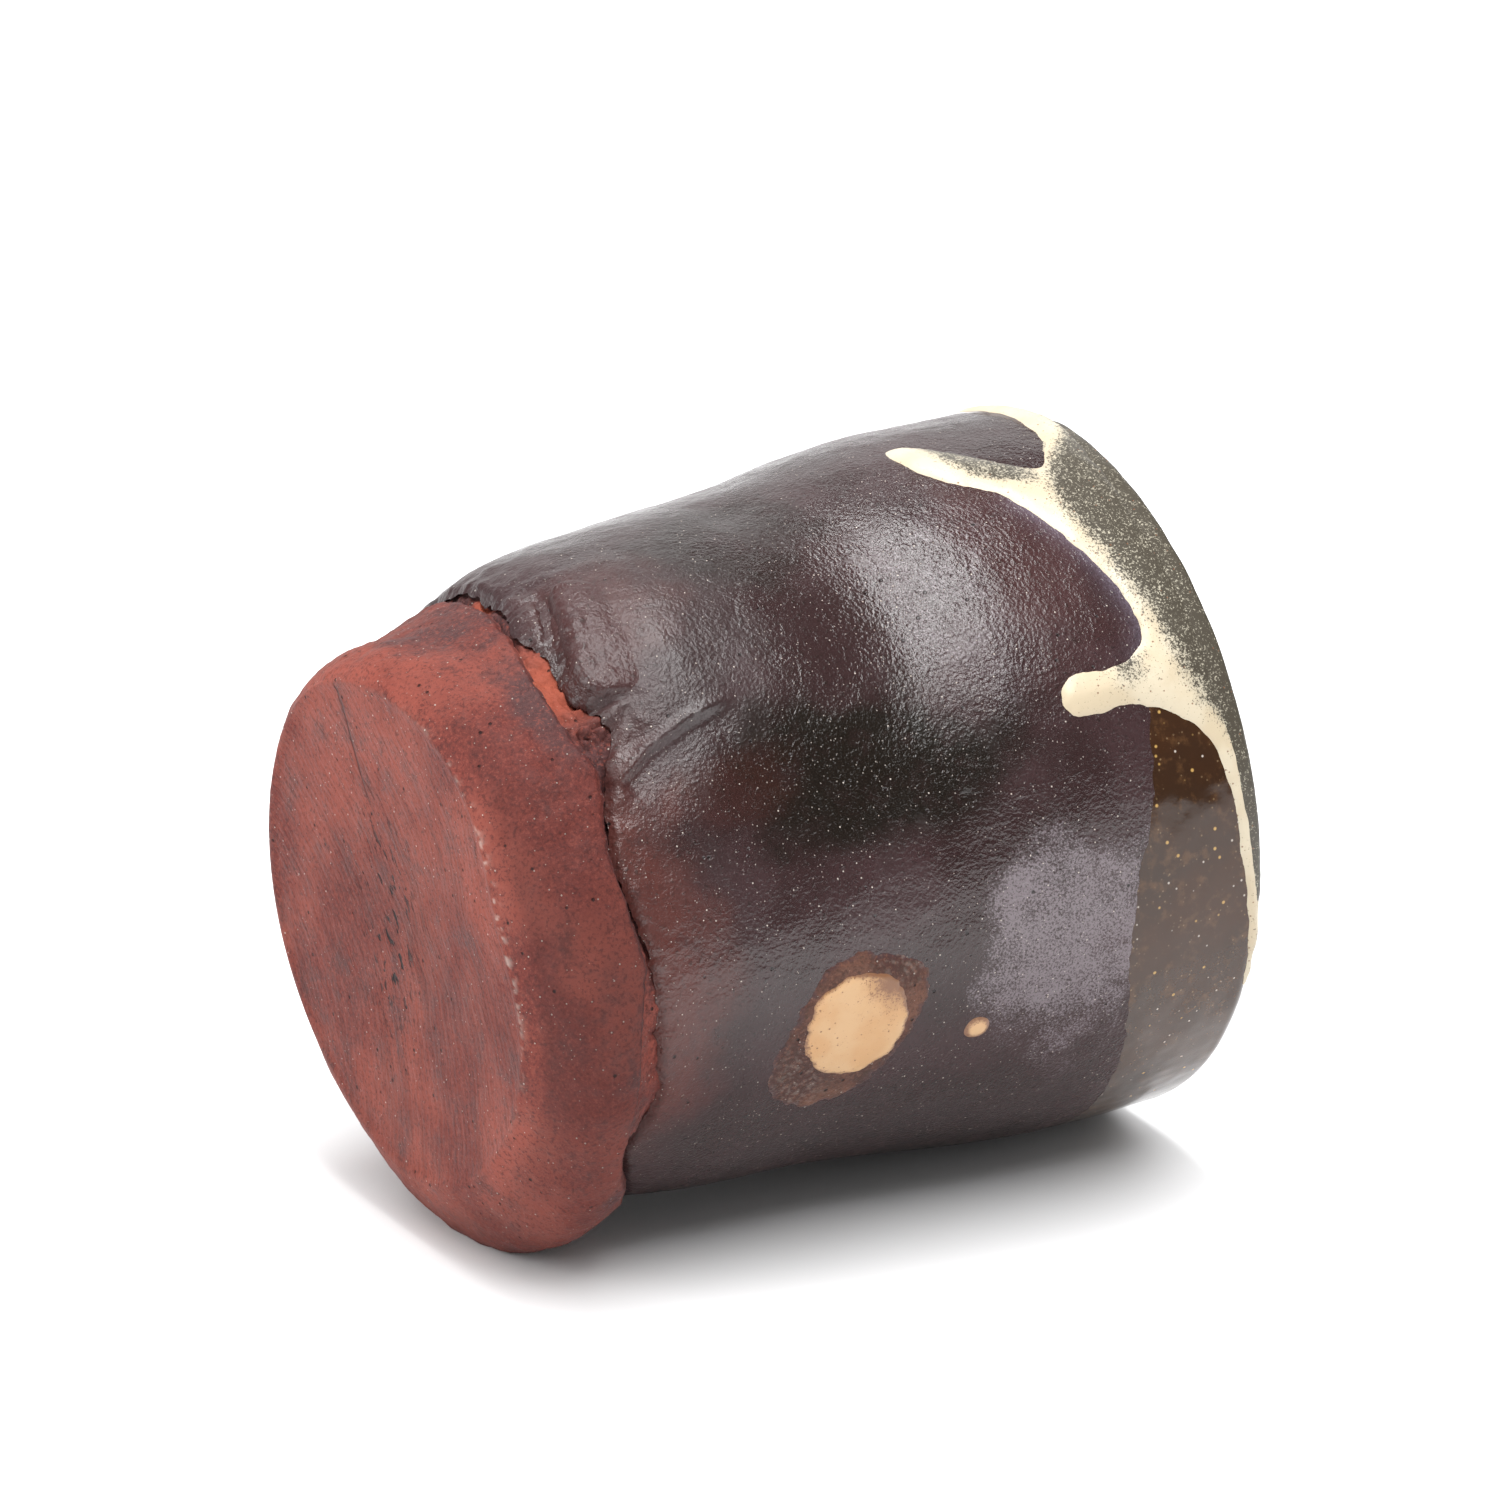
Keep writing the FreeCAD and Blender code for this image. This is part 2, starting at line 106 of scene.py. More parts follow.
def soft_line(at: Array, places: Sequence[float], values: Sequence[float]) -> Array:
    """A smooth line through a short list of values.

    Args:
        at: where the line is read.
        places: rising positions of the values.
        values: one value for each place.

    Returns:
        The line's value at each position.
    """
    x = np.asarray(places, float)
    y = np.asarray(values, float)
    slope = np.gradient(y, x)
    k = np.clip(np.searchsorted(x, at) - 1, 0, len(x) - 2)
    gap = x[k + 1] - x[k]
    t = np.clip((at - x[k]) / gap, 0.0, 1.0)
    rise = y[k + 1] - y[k]
    a = slope[k] * gap - rise
    b = rise - slope[k + 1] * gap
    return y[k] + rise * t + t * (1.0 - t) * (a * (1.0 - t) + b * t)


def bell(value: Array, middle: float, width: float) -> Array:
    """One at the middle, falling softly to nothing on both sides.

    Args:
        value: numbers to judge.
        middle: where the result is one.
        width: how far off it has fallen to about a third.

    Returns:
        Numbers from 0 to 1.
    """
    return np.exp(-(((value - middle) / width) ** 2))


def turn_bell(turn: Array, middle: float, width: float) -> Array:
    """As bell, for turns, which start again after a full round.

    Args:
        turn: turns in degrees.
        middle: the turn where the result is one.
        width: how many degrees off it has fallen to about a third.

    Returns:
        Numbers from 0 to 1.
    """
    return np.exp(-((wrapped(turn, middle) / width) ** 2))


def round_line(turn: Array, places: Sequence[float], values: Sequence[float]) -> Array:
    """As soft_line, for a line that runs right round the cup.

    Args:
        turn: where the line is read, in degrees.
        places: rising turns, in degrees, within one full turn.
        values: one value for each turn.

    Returns:
        The line's value at each turn.
    """
    start = places[0]
    far = [p - 360.0 for p in places[-2:]] + list(places) + [p + 360.0 for p in places[:2]]
    near = list(values[-2:]) + list(values) + list(values[:2])
    return soft_line((turn - start) % 360.0 + start, far, near)


def grain(points: Array, scale: float, seed: float, octaves: int = 3) -> Array:
    """Smooth random unevenness, about -1 to 1.

    Args:
        points: positions in millimetres, one row each.
        scale: size of the unevenness in millimetres.
        seed: shifts the pattern.
        octaves: how many finer layers are added.

    Returns:
        One number for each point.
    """
    shift = Vector((seed, seed * 0.37, -seed * 0.71))
    return np.array(
        [
            noise.fractal(Vector(p) / scale + shift, 0.9, 2.1, octaves, noise_basis="PERLIN_ORIGINAL")
            for p in points
        ]
    )


def cells(points: Array, scale: float, seed: float) -> Array:
    """Rounded lumps with sharp valleys between them, 0 in the valleys to about 1.

    Args:
        points: positions in millimetres, one row each.
        scale: size of a lump in millimetres.
        seed: shifts the pattern.

    Returns:
        One number for each point.
    """
    shift = Vector((seed, -seed * 0.53, seed * 0.29))
    made = []
    for p in points:
        near, _ = noise.voronoi(Vector(p) / scale + shift)
        made.append(min(1.0, (near[1] - near[0]) * 2.2))
    return np.array(made)


# ---- the form of the cup -----------------------------------------------------------


def ragged(turn: Array, scale: float, seed: float) -> Array:
    """Unevenness along a line round the cup.

    Args:
        turn: where the line is read, in degrees.
        scale: size of the unevenness in millimetres.
        seed: shifts the pattern.

    Returns:
        About -1 to 1.
    """
    angle = np.radians(np.asarray(turn, float))
    ring = np.stack([RING_RADIUS * np.cos(angle), RING_RADIUS * np.sin(angle), 0.0 * angle], axis=-1)
    return grain(ring.reshape(-1, 3), scale, seed, 3).reshape(angle.shape)


@dataclass(frozen=True)
class Press:
    """A soft place pressed in (negative) or swelling out (positive)."""

    turn: float
    height: float
    turn_width: float
    height_width: float
    depth: float
    lean: float = 0.0

    def at(self, turn: Array, height: Array) -> Array:
        """How far the surface moves out.

        Args:
            turn: turns in degrees.
            height: heights in millimetres.

        Returns:
            Millimetres outward.
        """
        up = height - self.height
        side = wrapped(turn, self.turn) - self.lean * up
        return self.depth * np.exp(-((side / self.turn_width) ** 2) - (up / self.height_width) ** 2)


@dataclass(frozen=True)
class Crease:
    """A fold: a fine ridge along a line, with the surface lower on one side."""

    line: Line
    ridge: float
    ridge_width: float
    drop: float
    drop_width: float
    radius: float = RING_RADIUS

    def at(self, turn: Array, height: Array) -> Array:
        """How far the surface moves out.

        Args:
            turn: turns in degrees.
            height: heights in millimetres.

        Returns:
            Millimetres outward.
        """
        per_degree = math.radians(self.radius)
        x = wrapped(turn, self.line[0][0]) * per_degree
        y = height
        nearest = np.full(np.shape(x), 1e9)
        side = np.zeros(np.shape(x))
        along = np.zeros(np.shape(x))
        knots = [((t - self.line[0][0]) * per_degree, h) for t, h in self.line]
        count = len(knots) - 1
        for k in range(count):
            ax, ay = knots[k]
            bx, by = knots[k + 1]
            dx, dy = bx - ax, by - ay
            length = math.hypot(dx, dy)
            t = np.clip(((x - ax) * dx + (y - ay) * dy) / length**2, 0.0, 1.0)
            away = np.hypot(x - ax - t * dx, y - ay - t * dy)
            closer = away < nearest
            nearest = np.where(closer, away, nearest)
            turned = ((x - ax) * dy - (y - ay) * dx) / length
            side = np.where(closer, turned, side)
            along = np.where(closer, (k + t) / count, along)
        fade = soft_step(along, 0.0, 0.12) * (1.0 - soft_step(along, 0.75, 1.0))
        signed = np.sign(side) * nearest
        ridge = self.ridge * np.exp(-((nearest / self.ridge_width) ** 2))
        low = soft_step(signed, 0.0, self.ridge_width * 1.5) * np.exp(-((nearest / self.drop_width) ** 2))
        return fade * (ridge - self.drop * low)


@dataclass(frozen=True)
class CupForm:
    """The whole cup's form, upright: turns in degrees, heights and radii in millimetres.

    Turn 0 is the side the cup lies on, and minus 90 faces the viewer.
    """

    height: float = 68.0
    glaze: float = 0.8
    lining: float = 0.6
    sag_turn: float = -23.0
    wall_heights: tuple[float, ...] = (8.0, 12, 14, 16, 20, 24, 30, 36, 42, 48, 54, 60, 68)
    wall_upper: tuple[float, ...] = (
        25.6, 26.6, 27.3, 28.1, 29.0, 29.4, 29.8, 30.0, 30.5, 31.3, 31.7, 31.55, 31.4,
    )
    wall_lower: tuple[float, ...] = (
        26.2, 26.5, 26.8, 27.0, 27.6, 27.9, 28.2, 28.8, 29.6, 30.5, 31.1, 31.3, 31.2,
    )
    foot_heights: tuple[float, ...] = (0.0, 0.7, 1.8, 3.2, 5.0, 6.6, 9.0, 11.0, 14.0)
    foot_upper: tuple[float, ...] = (22.2, 23.0, 23.7, 24.2, 24.5, 24.6, 25.3, 26.0, 26.8)
    foot_lower: tuple[float, ...] = (22.3, 23.9, 25.8, 27.8, 29.2, 29.5, 28.9, 27.9, 26.4)
    presses: tuple[Press, ...] = (
        Press(-118, 25, 20, 15, -1.75),
        Press(-104, 43, 18, 10, -0.45),
        Press(-158, 21, 16, 7.5, 0.95),
        Press(-128, 54, 20, 11, 0.35),
        Press(-70, 22, 22, 12, -0.35),
        Press(178, 35, 9, 3.2, -0.42, -1.2),
        Press(-148, 39.5, 24, 5.5, -0.95),
        Press(-82, 11.0, 24, 3.2, 0.9),
        Press(169, 12.2, 4.5, 1.1, -1.3),
        Press(-176, 14.6, 7, 1.2, -0.35, 1.6),
        Press(-113, 41.2, 1.6, 0.6, -0.22),
        Press(-110.6, 41.0, 1.0, 0.5, 0.08),
        Press(90, 30, 26, 14, -1.3),
        Press(30, 24, 24, 10, -0.6),
        Press(130, 46, 18, 10, 0.4),
    )
    creases: tuple[Crease, ...] = (
        Crease(((-131.5, 11.2), (-136.5, 15.0), (-139.0, 19.2), (-140.5, 24.0)), 0.42, 0.55, 0.55, 3.2),
        Crease(
            ((-181, 15.6), (-165, 12.7), (-154, 11.2), (-147.6, 11.8), (-146.2, 17.0)),
            -0.75, 0.40, 0.0, 1.0,
        ),
    )
    block_edge_at: Line = (
        (-180, 11.6), (-171, 10.7), (-155, 9.6), (-145, 9.4), (-135, 10.2), (-120, 8.7), (-108, 9.0),
        (-98, 9.5), (-88, 8.7), (-78, 8.3), (-68, 7.9), (-60, 7.8), (-46, 10.4), (-27, 13.4), (0, 12.4),
        (60, 11.4), (120, 11.6), (163, 12.8),
    )
    block_edge_ragged: float = 0.20
    skin_edge_at: Line = (
        (-180, 12.2), (-171, 11.0), (-164, 11.6), (-156, 11.5), (-150, 11.7), (-145, 12.7), (-141, 13.0),
        (-136, 11.4), (-130, 10.4), (-120, 9.3), (-108, 9.7), (-101, 10.2), (-93, 10.4), (-85, 10.3),
        (-77, 10.4), (-71, 10.9), (-64, 10.2), (-58, 9.1), (-46, 10.8), (-27, 13.9), (0, 12.9), (60, 11.9),
        (120, 12.1), (163, 13.3),
    )
    skin_edge_ragged: float = 0.30
    glaze_line_at: Line = (
        (-180, 64.6), (-165, 64.9), (-150, 64.3), (-133, 63.0), (-124, 60.4), (-117, 58.7), (-110, 58.0),
        (-103, 57.1), (-95, 55.5), (-87, 54.7), (-80, 54.5), (-72, 54.9), (-61, 55.7), (-30, 56.6),
        (0, 57.0), (60, 58.5), (120, 62.0),
    )
    glaze_line_ragged: float = 0.22

    def wall(self, turn: Array, height: Array) -> Array:
        """Radius of the wall over its glaze.

        Args:
            turn: turns in degrees.
            height: heights in millimetres.

        Returns:
            Radii in millimetres.
        """
        radius = self.smooth_wall(turn, height)
        for feature in (*self.presses, *self.creases):
            radius = radius + feature.at(turn, height)
        return radius

    def smooth_wall(self, turn: Array, height: Array) -> Array:
        """Radius of the wall over its glaze, before any finger pressed it.

        Args:
            turn: turns in degrees.
            height: heights in millimetres.

        Returns:
            Radii in millimetres.
        """
        upper = soft_line(height, self.wall_heights, self.wall_upper)
        lower = soft_line(height, self.wall_heights, self.wall_lower)
        lean = np.cos(np.radians(turn - self.sag_turn))
        return (upper + lower) / 2 + (lower - upper) / 2 * lean

    def foot(self, turn: Array, height: Array) -> Array:
        """Radius of the foot block.

        Args:
            turn: turns in degrees.
            height: heights in millimetres.

        Returns:
            Radii in millimetres.
        """
        upper = soft_line(height, self.foot_heights, self.foot_upper)
        lower = soft_line(height, self.foot_heights, self.foot_lower)
        lean = np.cos(np.radians(turn - self.sag_turn))
        wobble = 0.18 * np.cos(np.radians(3 * turn + 40)) + 0.12 * np.cos(np.radians(5 * turn))
        return (upper + lower) / 2 + (lower - upper) / 2 * lean + wobble

    def block_edge(self, turn: Array) -> Array:
        """Height of the foot block's upper edge, right round.

        Args:
            turn: turns in degrees.

        Returns:
            Heights in millimetres.
        """
        turns, heights = zip(*self.block_edge_at)
        return round_line(turn, turns, heights) + self.block_edge_ragged * ragged(turn, 1.5, 2.0)

    def skin_edge(self, turn: Array) -> Array:
        """Height of the thrown wall's lower edge, right round.

        Args:
            turn: turns in degrees.

        Returns:
            Heights in millimetres.
        """
        turns, heights = zip(*self.skin_edge_at)
        return round_line(turn, turns, heights) + self.skin_edge_ragged * ragged(turn, 1.1, 7.0)

    def glaze_line(self, turn: Array) -> Array:
        """Height where the dark glaze ends and the amber one starts.

        Args:
            turn: turns in degrees.

        Returns:
            Heights in millimetres.
        """
        turns, heights = zip(*self.glaze_line_at)
        return round_line(turn, turns, heights) + self.glaze_line_ragged * ragged(turn, 0.9, 5.0)


@dataclass(frozen=True)
class Lay:
    """Lays the upright form down on the table, in metres."""

    foot: Vector
    axis: Vector

    @classmethod
    def from_record(cls, record: dict) -> "Lay":
        """The lay of the cup, read from its foot face.

        Args:
            record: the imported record.

        Returns:
            The lay.
        """
        mount = next(m for m in record["mounts"] if m["name"] == "foot_face")
        return cls(Vector(mount["pos_m"]), -Vector(mount["axis"]).normalized())

    def place(self, turn: Array, height: Array, radius: Array) -> Array:
        """Positions on the lying cup.

        Args:
            turn: turns in degrees.
            height: heights in millimetres.
            radius: radii in millimetres.

        Returns:
            Positions in metres, one row each.
        """
        axis = np.array(self.axis)
        down = np.array([0.0, 0.0, -1.0])
        down = down - axis * (down @ axis)
        down /= np.linalg.norm(down)
        across = np.cross(axis, down)
        angle = np.radians(turn)
        out = np.cos(angle)[:, None] * down + np.sin(angle)[:, None] * across
        along = np.asarray(height)[:, None] * axis
        return np.array(self.foot) + MM * (along + np.asarray(radius)[:, None] * out)


def upright(turn: Array, height: Array, radius: Array) -> Array:
    """Positions on the upright form in millimetres, for reading unevenness.

    Args:
        turn: turns in degrees.
        height: heights in millimetres.
        radius: radii in millimetres.

    Returns:
        Positions, one row each.
    """
    angle = np.radians(turn)
    return np.stack([radius * np.cos(angle), radius * np.sin(angle), height], axis=1)


# ---- building by hand --------------------------------------------------------------


def fresh_grid(name: str, across: int, along: int) -> bpy.types.Object:
    """A flat grid to wrap round the cup.

    Args:
        name: the piece's name.
        across: faces round the cup.
        along: faces along the section.

    Returns:
        The grid, two metres wide, with its own unfolded map.
    """
    bpy.ops.object.select_all(action="DESELECT")
    bpy.ops.mesh.primitive_grid_add(x_subdivisions=across, y_subdivisions=along, size=2.0)
    made = bpy.context.active_object
    made.name = name
    made.data.name = name
    return made


def read_places(piece: bpy.types.Object) -> Array:
    """Vertex positions of a piece.

    Args:
        piece: the piece.

    Returns:
        Positions in metres, one row each.
    """
    flat = np.empty(len(piece.data.vertices) * 3)
    piece.data.vertices.foreach_get("co", flat)
    return flat.reshape(-1, 3)


def write_places(piece: bpy.types.Object, places: Array) -> None:
    """Moves every vertex of a piece.

    Args:
        piece: the piece.
        places: new positions, one row each.
    """
    piece.data.vertices.foreach_set("co", np.ascontiguousarray(places, dtype=np.float64).ravel())
    piece.data.update()


def write_mark(piece: bpy.types.Object, name: str, values: Array) -> None:
    """Stores one number for each vertex, for the finish to read.

    Args:
        piece: the piece.
        name: what the number is called.
        values: one number for each vertex.
    """
    mark = piece.data.attributes.new(name=name, type="FLOAT", domain="POINT")
    mark.data.foreach_set("value", np.ascontiguousarray(values, dtype=np.float32).ravel())


def sew(piece: bpy.types.Object, gap: float = 2e-7) -> None:
    """Joins the edges that meet, turns the faces outward and smooths them.

    Args:
        piece: the piece.
        gap: how near vertices must be to join, in metres.
    """
    bpy.ops.object.select_all(action="DESELECT")
    piece.select_set(True)
    bpy.context.view_layer.objects.active = piece
    bpy.ops.object.mode_set(mode="EDIT")
    bpy.ops.mesh.select_all(action="SELECT")
    bpy.ops.mesh.remove_doubles(threshold=gap)
    bpy.ops.mesh.normals_make_consistent(inside=False)
    bpy.ops.object.mode_set(mode="OBJECT")
    bpy.ops.object.shade_smooth_by_angle(angle=math.radians(48.0))


@dataclass
class Piece:
    """One piece of the cup: its mesh, what it stands for and its finish."""

    form: CupForm
    lay: Lay
    made: bpy.types.Object | None = field(default=None, init=False)

    def wrap(self, name: str, across: int, along: int, surface: Surface) -> bpy.types.Object:
        """Wraps a grid round the cup.

        Args:
            name: the piece's name.
            across: faces round the cup.
            along: faces along the section.
            surface: gives turn, height and radius for shares across and along.

        Returns:
            The piece, with its turn, height and radius kept as marks.
        """
        piece = fresh_grid(name, across, along)
        flat = read_places(piece)
        turn, height, radius = surface((flat[:, 0] + 1) / 2, (flat[:, 1] + 1) / 2)
        write_places(piece, self.lay.place(turn, height, radius))
        write_mark(piece, "turn", wrapped(turn, -90.0) - 90.0)
        write_mark(piece, "height", height)
        self.made = piece
        return piece

    def keep_above(self, lowest: float) -> None:
        """Lifts what hangs lower than the table, or than a hidden height over it.

        Args:
            lowest: the lowest height allowed, in metres.
        """
        places = read_places(self.made)
        places[:, 2] = np.maximum(places[:, 2], lowest)
        write_places(self.made, places)

    def read(self, name: str) -> Array:
        """Reads a mark back.

        Args:
            name: the mark's name.

        Returns:
            Its numbers, one for each vertex.
        """
        values = np.empty(len(self.made.data.vertices), dtype=np.float32)
        self.made.data.attributes[name].data.foreach_get("value", values)
        return values.astype(float)

    def dress(self, finish: bpy.types.Material, slot: str, *nodes: str) -> bpy.types.Object:
        """Gives the piece its finish and puts it in place of its nodes.

        Args:
            finish: the material.
            slot: the record's material slot; not used.
            nodes: the nodes it stands for.

        Returns:
            The piece.
        """
        piece = self.made
        piece.data.materials.clear()
        piece.data.materials.append(finish)
        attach(piece, "root")
        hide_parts(*nodes)
        LOG.info("%s: %d faces", piece.name, len(piece.data.polygons))
        return piece


# ---- finishes ----------------------------------------------------------------------


class Tint(Enum):
    """Colours by name, as linear red, green and blue."""

    RED_CLAY = (0.120, 0.024, 0.018)
    RED_CLAY_LIGHT = (0.215, 0.052, 0.036)
    RED_CLAY_DARK = (0.040, 0.011, 0.010)
    PIT = (0.010, 0.005, 0.005)
    GREY_BLUSH_AND_SHADE = (0.056, 0.027, 0.028)
    ORANGE_CLAY = (0.258, 0.058, 0.029)
    PLUM_IRON = (0.026, 0.013, 0.013)
    PLUM_LIGHT = (0.037, 0.018, 0.019)
    RED_IRON = (0.070, 0.019, 0.015)
    OLIVE_BLACK = (0.009, 0.006, 0.004)
    SILVER_PAINTED_SHEEN = (0.184, 0.153, 0.167)
    AMBER = (0.042, 0.017, 0.007)
    AMBER_LIGHT = (0.102, 0.049, 0.020)
    AMBER_PALE = (0.204, 0.136, 0.075)
    GOLD_FLECK = (0.422, 0.258, 0.082)
    CREAM = (0.475, 0.395, 0.275)
    CREAM_PALE = (0.515, 0.450, 0.335)
    PEACH = (0.47, 0.265, 0.115)
    PEACH_PALE = (0.50, 0.31, 0.155)
    PEACH_DARK = (0.185, 0.085, 0.042)
    ASH_GREY = (0.340, 0.313, 0.245)
    ASH_BLACK = (0.034, 0.027, 0.019)
    VIOLET = (0.150, 0.125, 0.165)
    HALO = (0.048, 0.016, 0.012)
    HALO_LIGHT = (0.15, 0.065, 0.040)
    LIP_BROWN = (0.031, 0.015, 0.008)
    SPECK = (0.510, 0.449, 0.394)


def rgba(tint: Tint) -> tuple[float, float, float, float]:
    """The tint as a shader colour."""
    return (*tint.value, 1.0)


class Bench:
    """Lays out one material's nodes."""

    def __init__(self, name: str) -> None:
        """Starts an empty material.

        Args:
            name: the material's name.
        """
        self.material = bpy.data.materials.new(name)
        self.material.use_nodes = True
        self.tree = self.material.node_tree
        self.shader = self.tree.nodes["Principled BSDF"]
        coordinates = self.tree.nodes.new("ShaderNodeTexCoord")
        self.place = coordinates.outputs["Object"]

    def node(self, kind: str, **values: object) -> bpy.types.Node:
        """A new node with settings.

        Args:
            kind: the node's type.
            values: settings by name.

        Returns:
            The node.
        """
        made = self.tree.nodes.new(kind)
        for key, value in values.items():
            setattr(made, key, value)
        return made

    def link(self, source: Socket, target: Socket) -> None:
        """Joins a source socket to a target socket."""
        self.tree.links.new(source, target)

    def mark(self, name: str) -> Socket:
        """Reads a number stored on the piece."""
        return self.node("ShaderNodeAttribute", attribute_name=name).outputs["Fac"]

    def clouds(
        self,
        size_mm: float,
        detail: float = 3.0,
        rough: float = 0.55,
        lift: float = 0.0,
        where: Socket | None = None,
    ) -> Socket:
        """Soft clouds.

        Args:
            size_mm: size of the clouds.
            detail: finer layers.
            rough: strength of the finer layers.
            lift: moves the pattern.
            where: coordinates to read, or the piece's own.

        Returns:
            Values about a half.
        """
        made = self.node("ShaderNodeTexNoise", noise_dimensions="4D")
        made.inputs["Scale"].default_value = 1000.0 / size_mm
        made.inputs["Detail"].default_value = detail
        made.inputs["Roughness"].default_value = rough
        made.inputs["W"].default_value = lift
        self.link(where or self.place, made.inputs["Vector"])
        return made.outputs["Fac"]

    def dots(self, size_mm: float, reach: float, lift: float = 0.0) -> Socket:
        """Scattered round dots, 1 in the middle and 0 outside.

        Args:
            size_mm: spacing of the dots.
            reach: radius of a dot as a share of the spacing.
            lift: moves the pattern.

        Returns:
            The dots.
        """
        moved = self.node("ShaderNodeMapping")
        moved.inputs["Location"].default_value = (lift * MM, lift * 1.7 * MM, -lift * 2.3 * MM)
        self.link(self.place, moved.inputs["Vector"])
        made = self.node("ShaderNodeTexVoronoi", voronoi_dimensions="3D", feature="F1")
        made.inputs["Scale"].default_value = 1000.0 / size_mm
        self.link(moved.outputs["Vector"], made.inputs["Vector"])
        return self.ramp(made.outputs["Distance"], reach, reach * 0.45)

    def pair(self, first: str, second: str, share: float) -> Socket:
        """Coordinates made of two stored numbers, for drawn-out streaks.

        Args:
            first: the mark across the streaks.
            second: the mark along the streaks.
            share: how much the second counts.

        Returns:
            The coordinates.
        """
        made = self.node("ShaderNodeCombineXYZ")
        self.link(self.mark(first), made.inputs["X"])
        self.link(self.sum("MULTIPLY", self.mark(second), share), made.inputs["Y"])
        return made.outputs["Vector"]

    def ramp(
        self, value: Socket, low: float, high: float, start: float = 0.0, end: float = 1.0
    ) -> Socket:
        """A smooth change from start to end as value goes from low to high.

        Args:
            value: what is read.
            low: where the change starts.
            high: where it ends; it may be below low.
            start: result at low.
            end: result at high.

        Returns:
            The result.
        """
        made = self.node("ShaderNodeMapRange", interpolation_type="SMOOTHSTEP")
        if high < low:
            low, high, start, end = high, low, end, start
        made.inputs["From Min"].default_value = low
        made.inputs["From Max"].default_value = high
        made.inputs["To Min"].default_value = start
        made.inputs["To Max"].default_value = end
        self.link(value, made.inputs["Value"])
        return made.outputs["Result"]

    def sum(self, kind: str, first: Socket | float, second: Socket | float) -> Socket:
        """Plain arithmetic on two numbers.

        Args:
            kind: ADD, SUBTRACT, MULTIPLY, MAXIMUM, MINIMUM or POWER.
            first: a socket or a number.
            second: a socket or a number.

        Returns:
            The result.
        """
        made = self.node("ShaderNodeMath", operation=kind)
        for socket, value in zip(made.inputs, (first, second)):
            if isinstance(value, (int, float)):
                socket.default_value = value
            else:
                self.link(value, socket)
        return made.outputs[0]

    def blend(
        self, share: Socket | float, first: Socket | Tint, second: Socket | Tint
    ) -> Socket:
        """Mixes two colours.

        Args:
            share: how much of the second.
            first: a colour or a named tint.
            second: a colour or a named tint.

        Returns:
            The mixed colour.
        """
        made = self.node("ShaderNodeMix", data_type="RGBA", clamp_factor=True)
        if isinstance(share, float):
            made.inputs["Factor"].default_value = share
        else:
            self.link(share, made.inputs["Factor"])
        for socket, value in ((made.inputs[6], first), (made.inputs[7], second)):
            if isinstance(value, Tint):
                socket.default_value = rgba(value)
            else:
                self.link(value, socket)
        return made.outputs[2]

    def bump(self, height: Socket, depth_mm: float, under: Socket | None = None) -> Socket:
        """Fine relief.

        Args:
            height: the relief, 0 to 1.
            depth_mm: its real depth.
            under: relief that it lies on.

        Returns:
            The changed normal.
        """
        made = self.node("ShaderNodeBump")
        made.inputs["Strength"].default_value = 1.0
        made.inputs["Distance"].default_value = depth_mm * MM
        self.link(height, made.inputs["Height"])
        if under is not None:
            self.link(under, made.inputs["Normal"])
        return made.outputs["Normal"]

    def finish(
        self,
        colour: Socket,
        roughness: Socket | float,
        normal: Socket,
        shine: Socket | float,
    ) -> bpy.types.Material:
        """Joins the last sockets.

        Args:
            colour: base colour.
            roughness: a socket or a number.
            normal: the surface normal.
            shine: specular level, a socket or a number.

        Returns:
            The material.
        """
        self.link(colour, self.shader.inputs["Base Color"])
        self.link(normal, self.shader.inputs["Normal"])
        for name, value in (("Roughness", roughness), ("Specular IOR Level", shine)):
            if isinstance(value, (int, float)):
                self.shader.inputs[name].default_value = value
            else:
                self.link(value, self.shader.inputs[name])
        return self.material


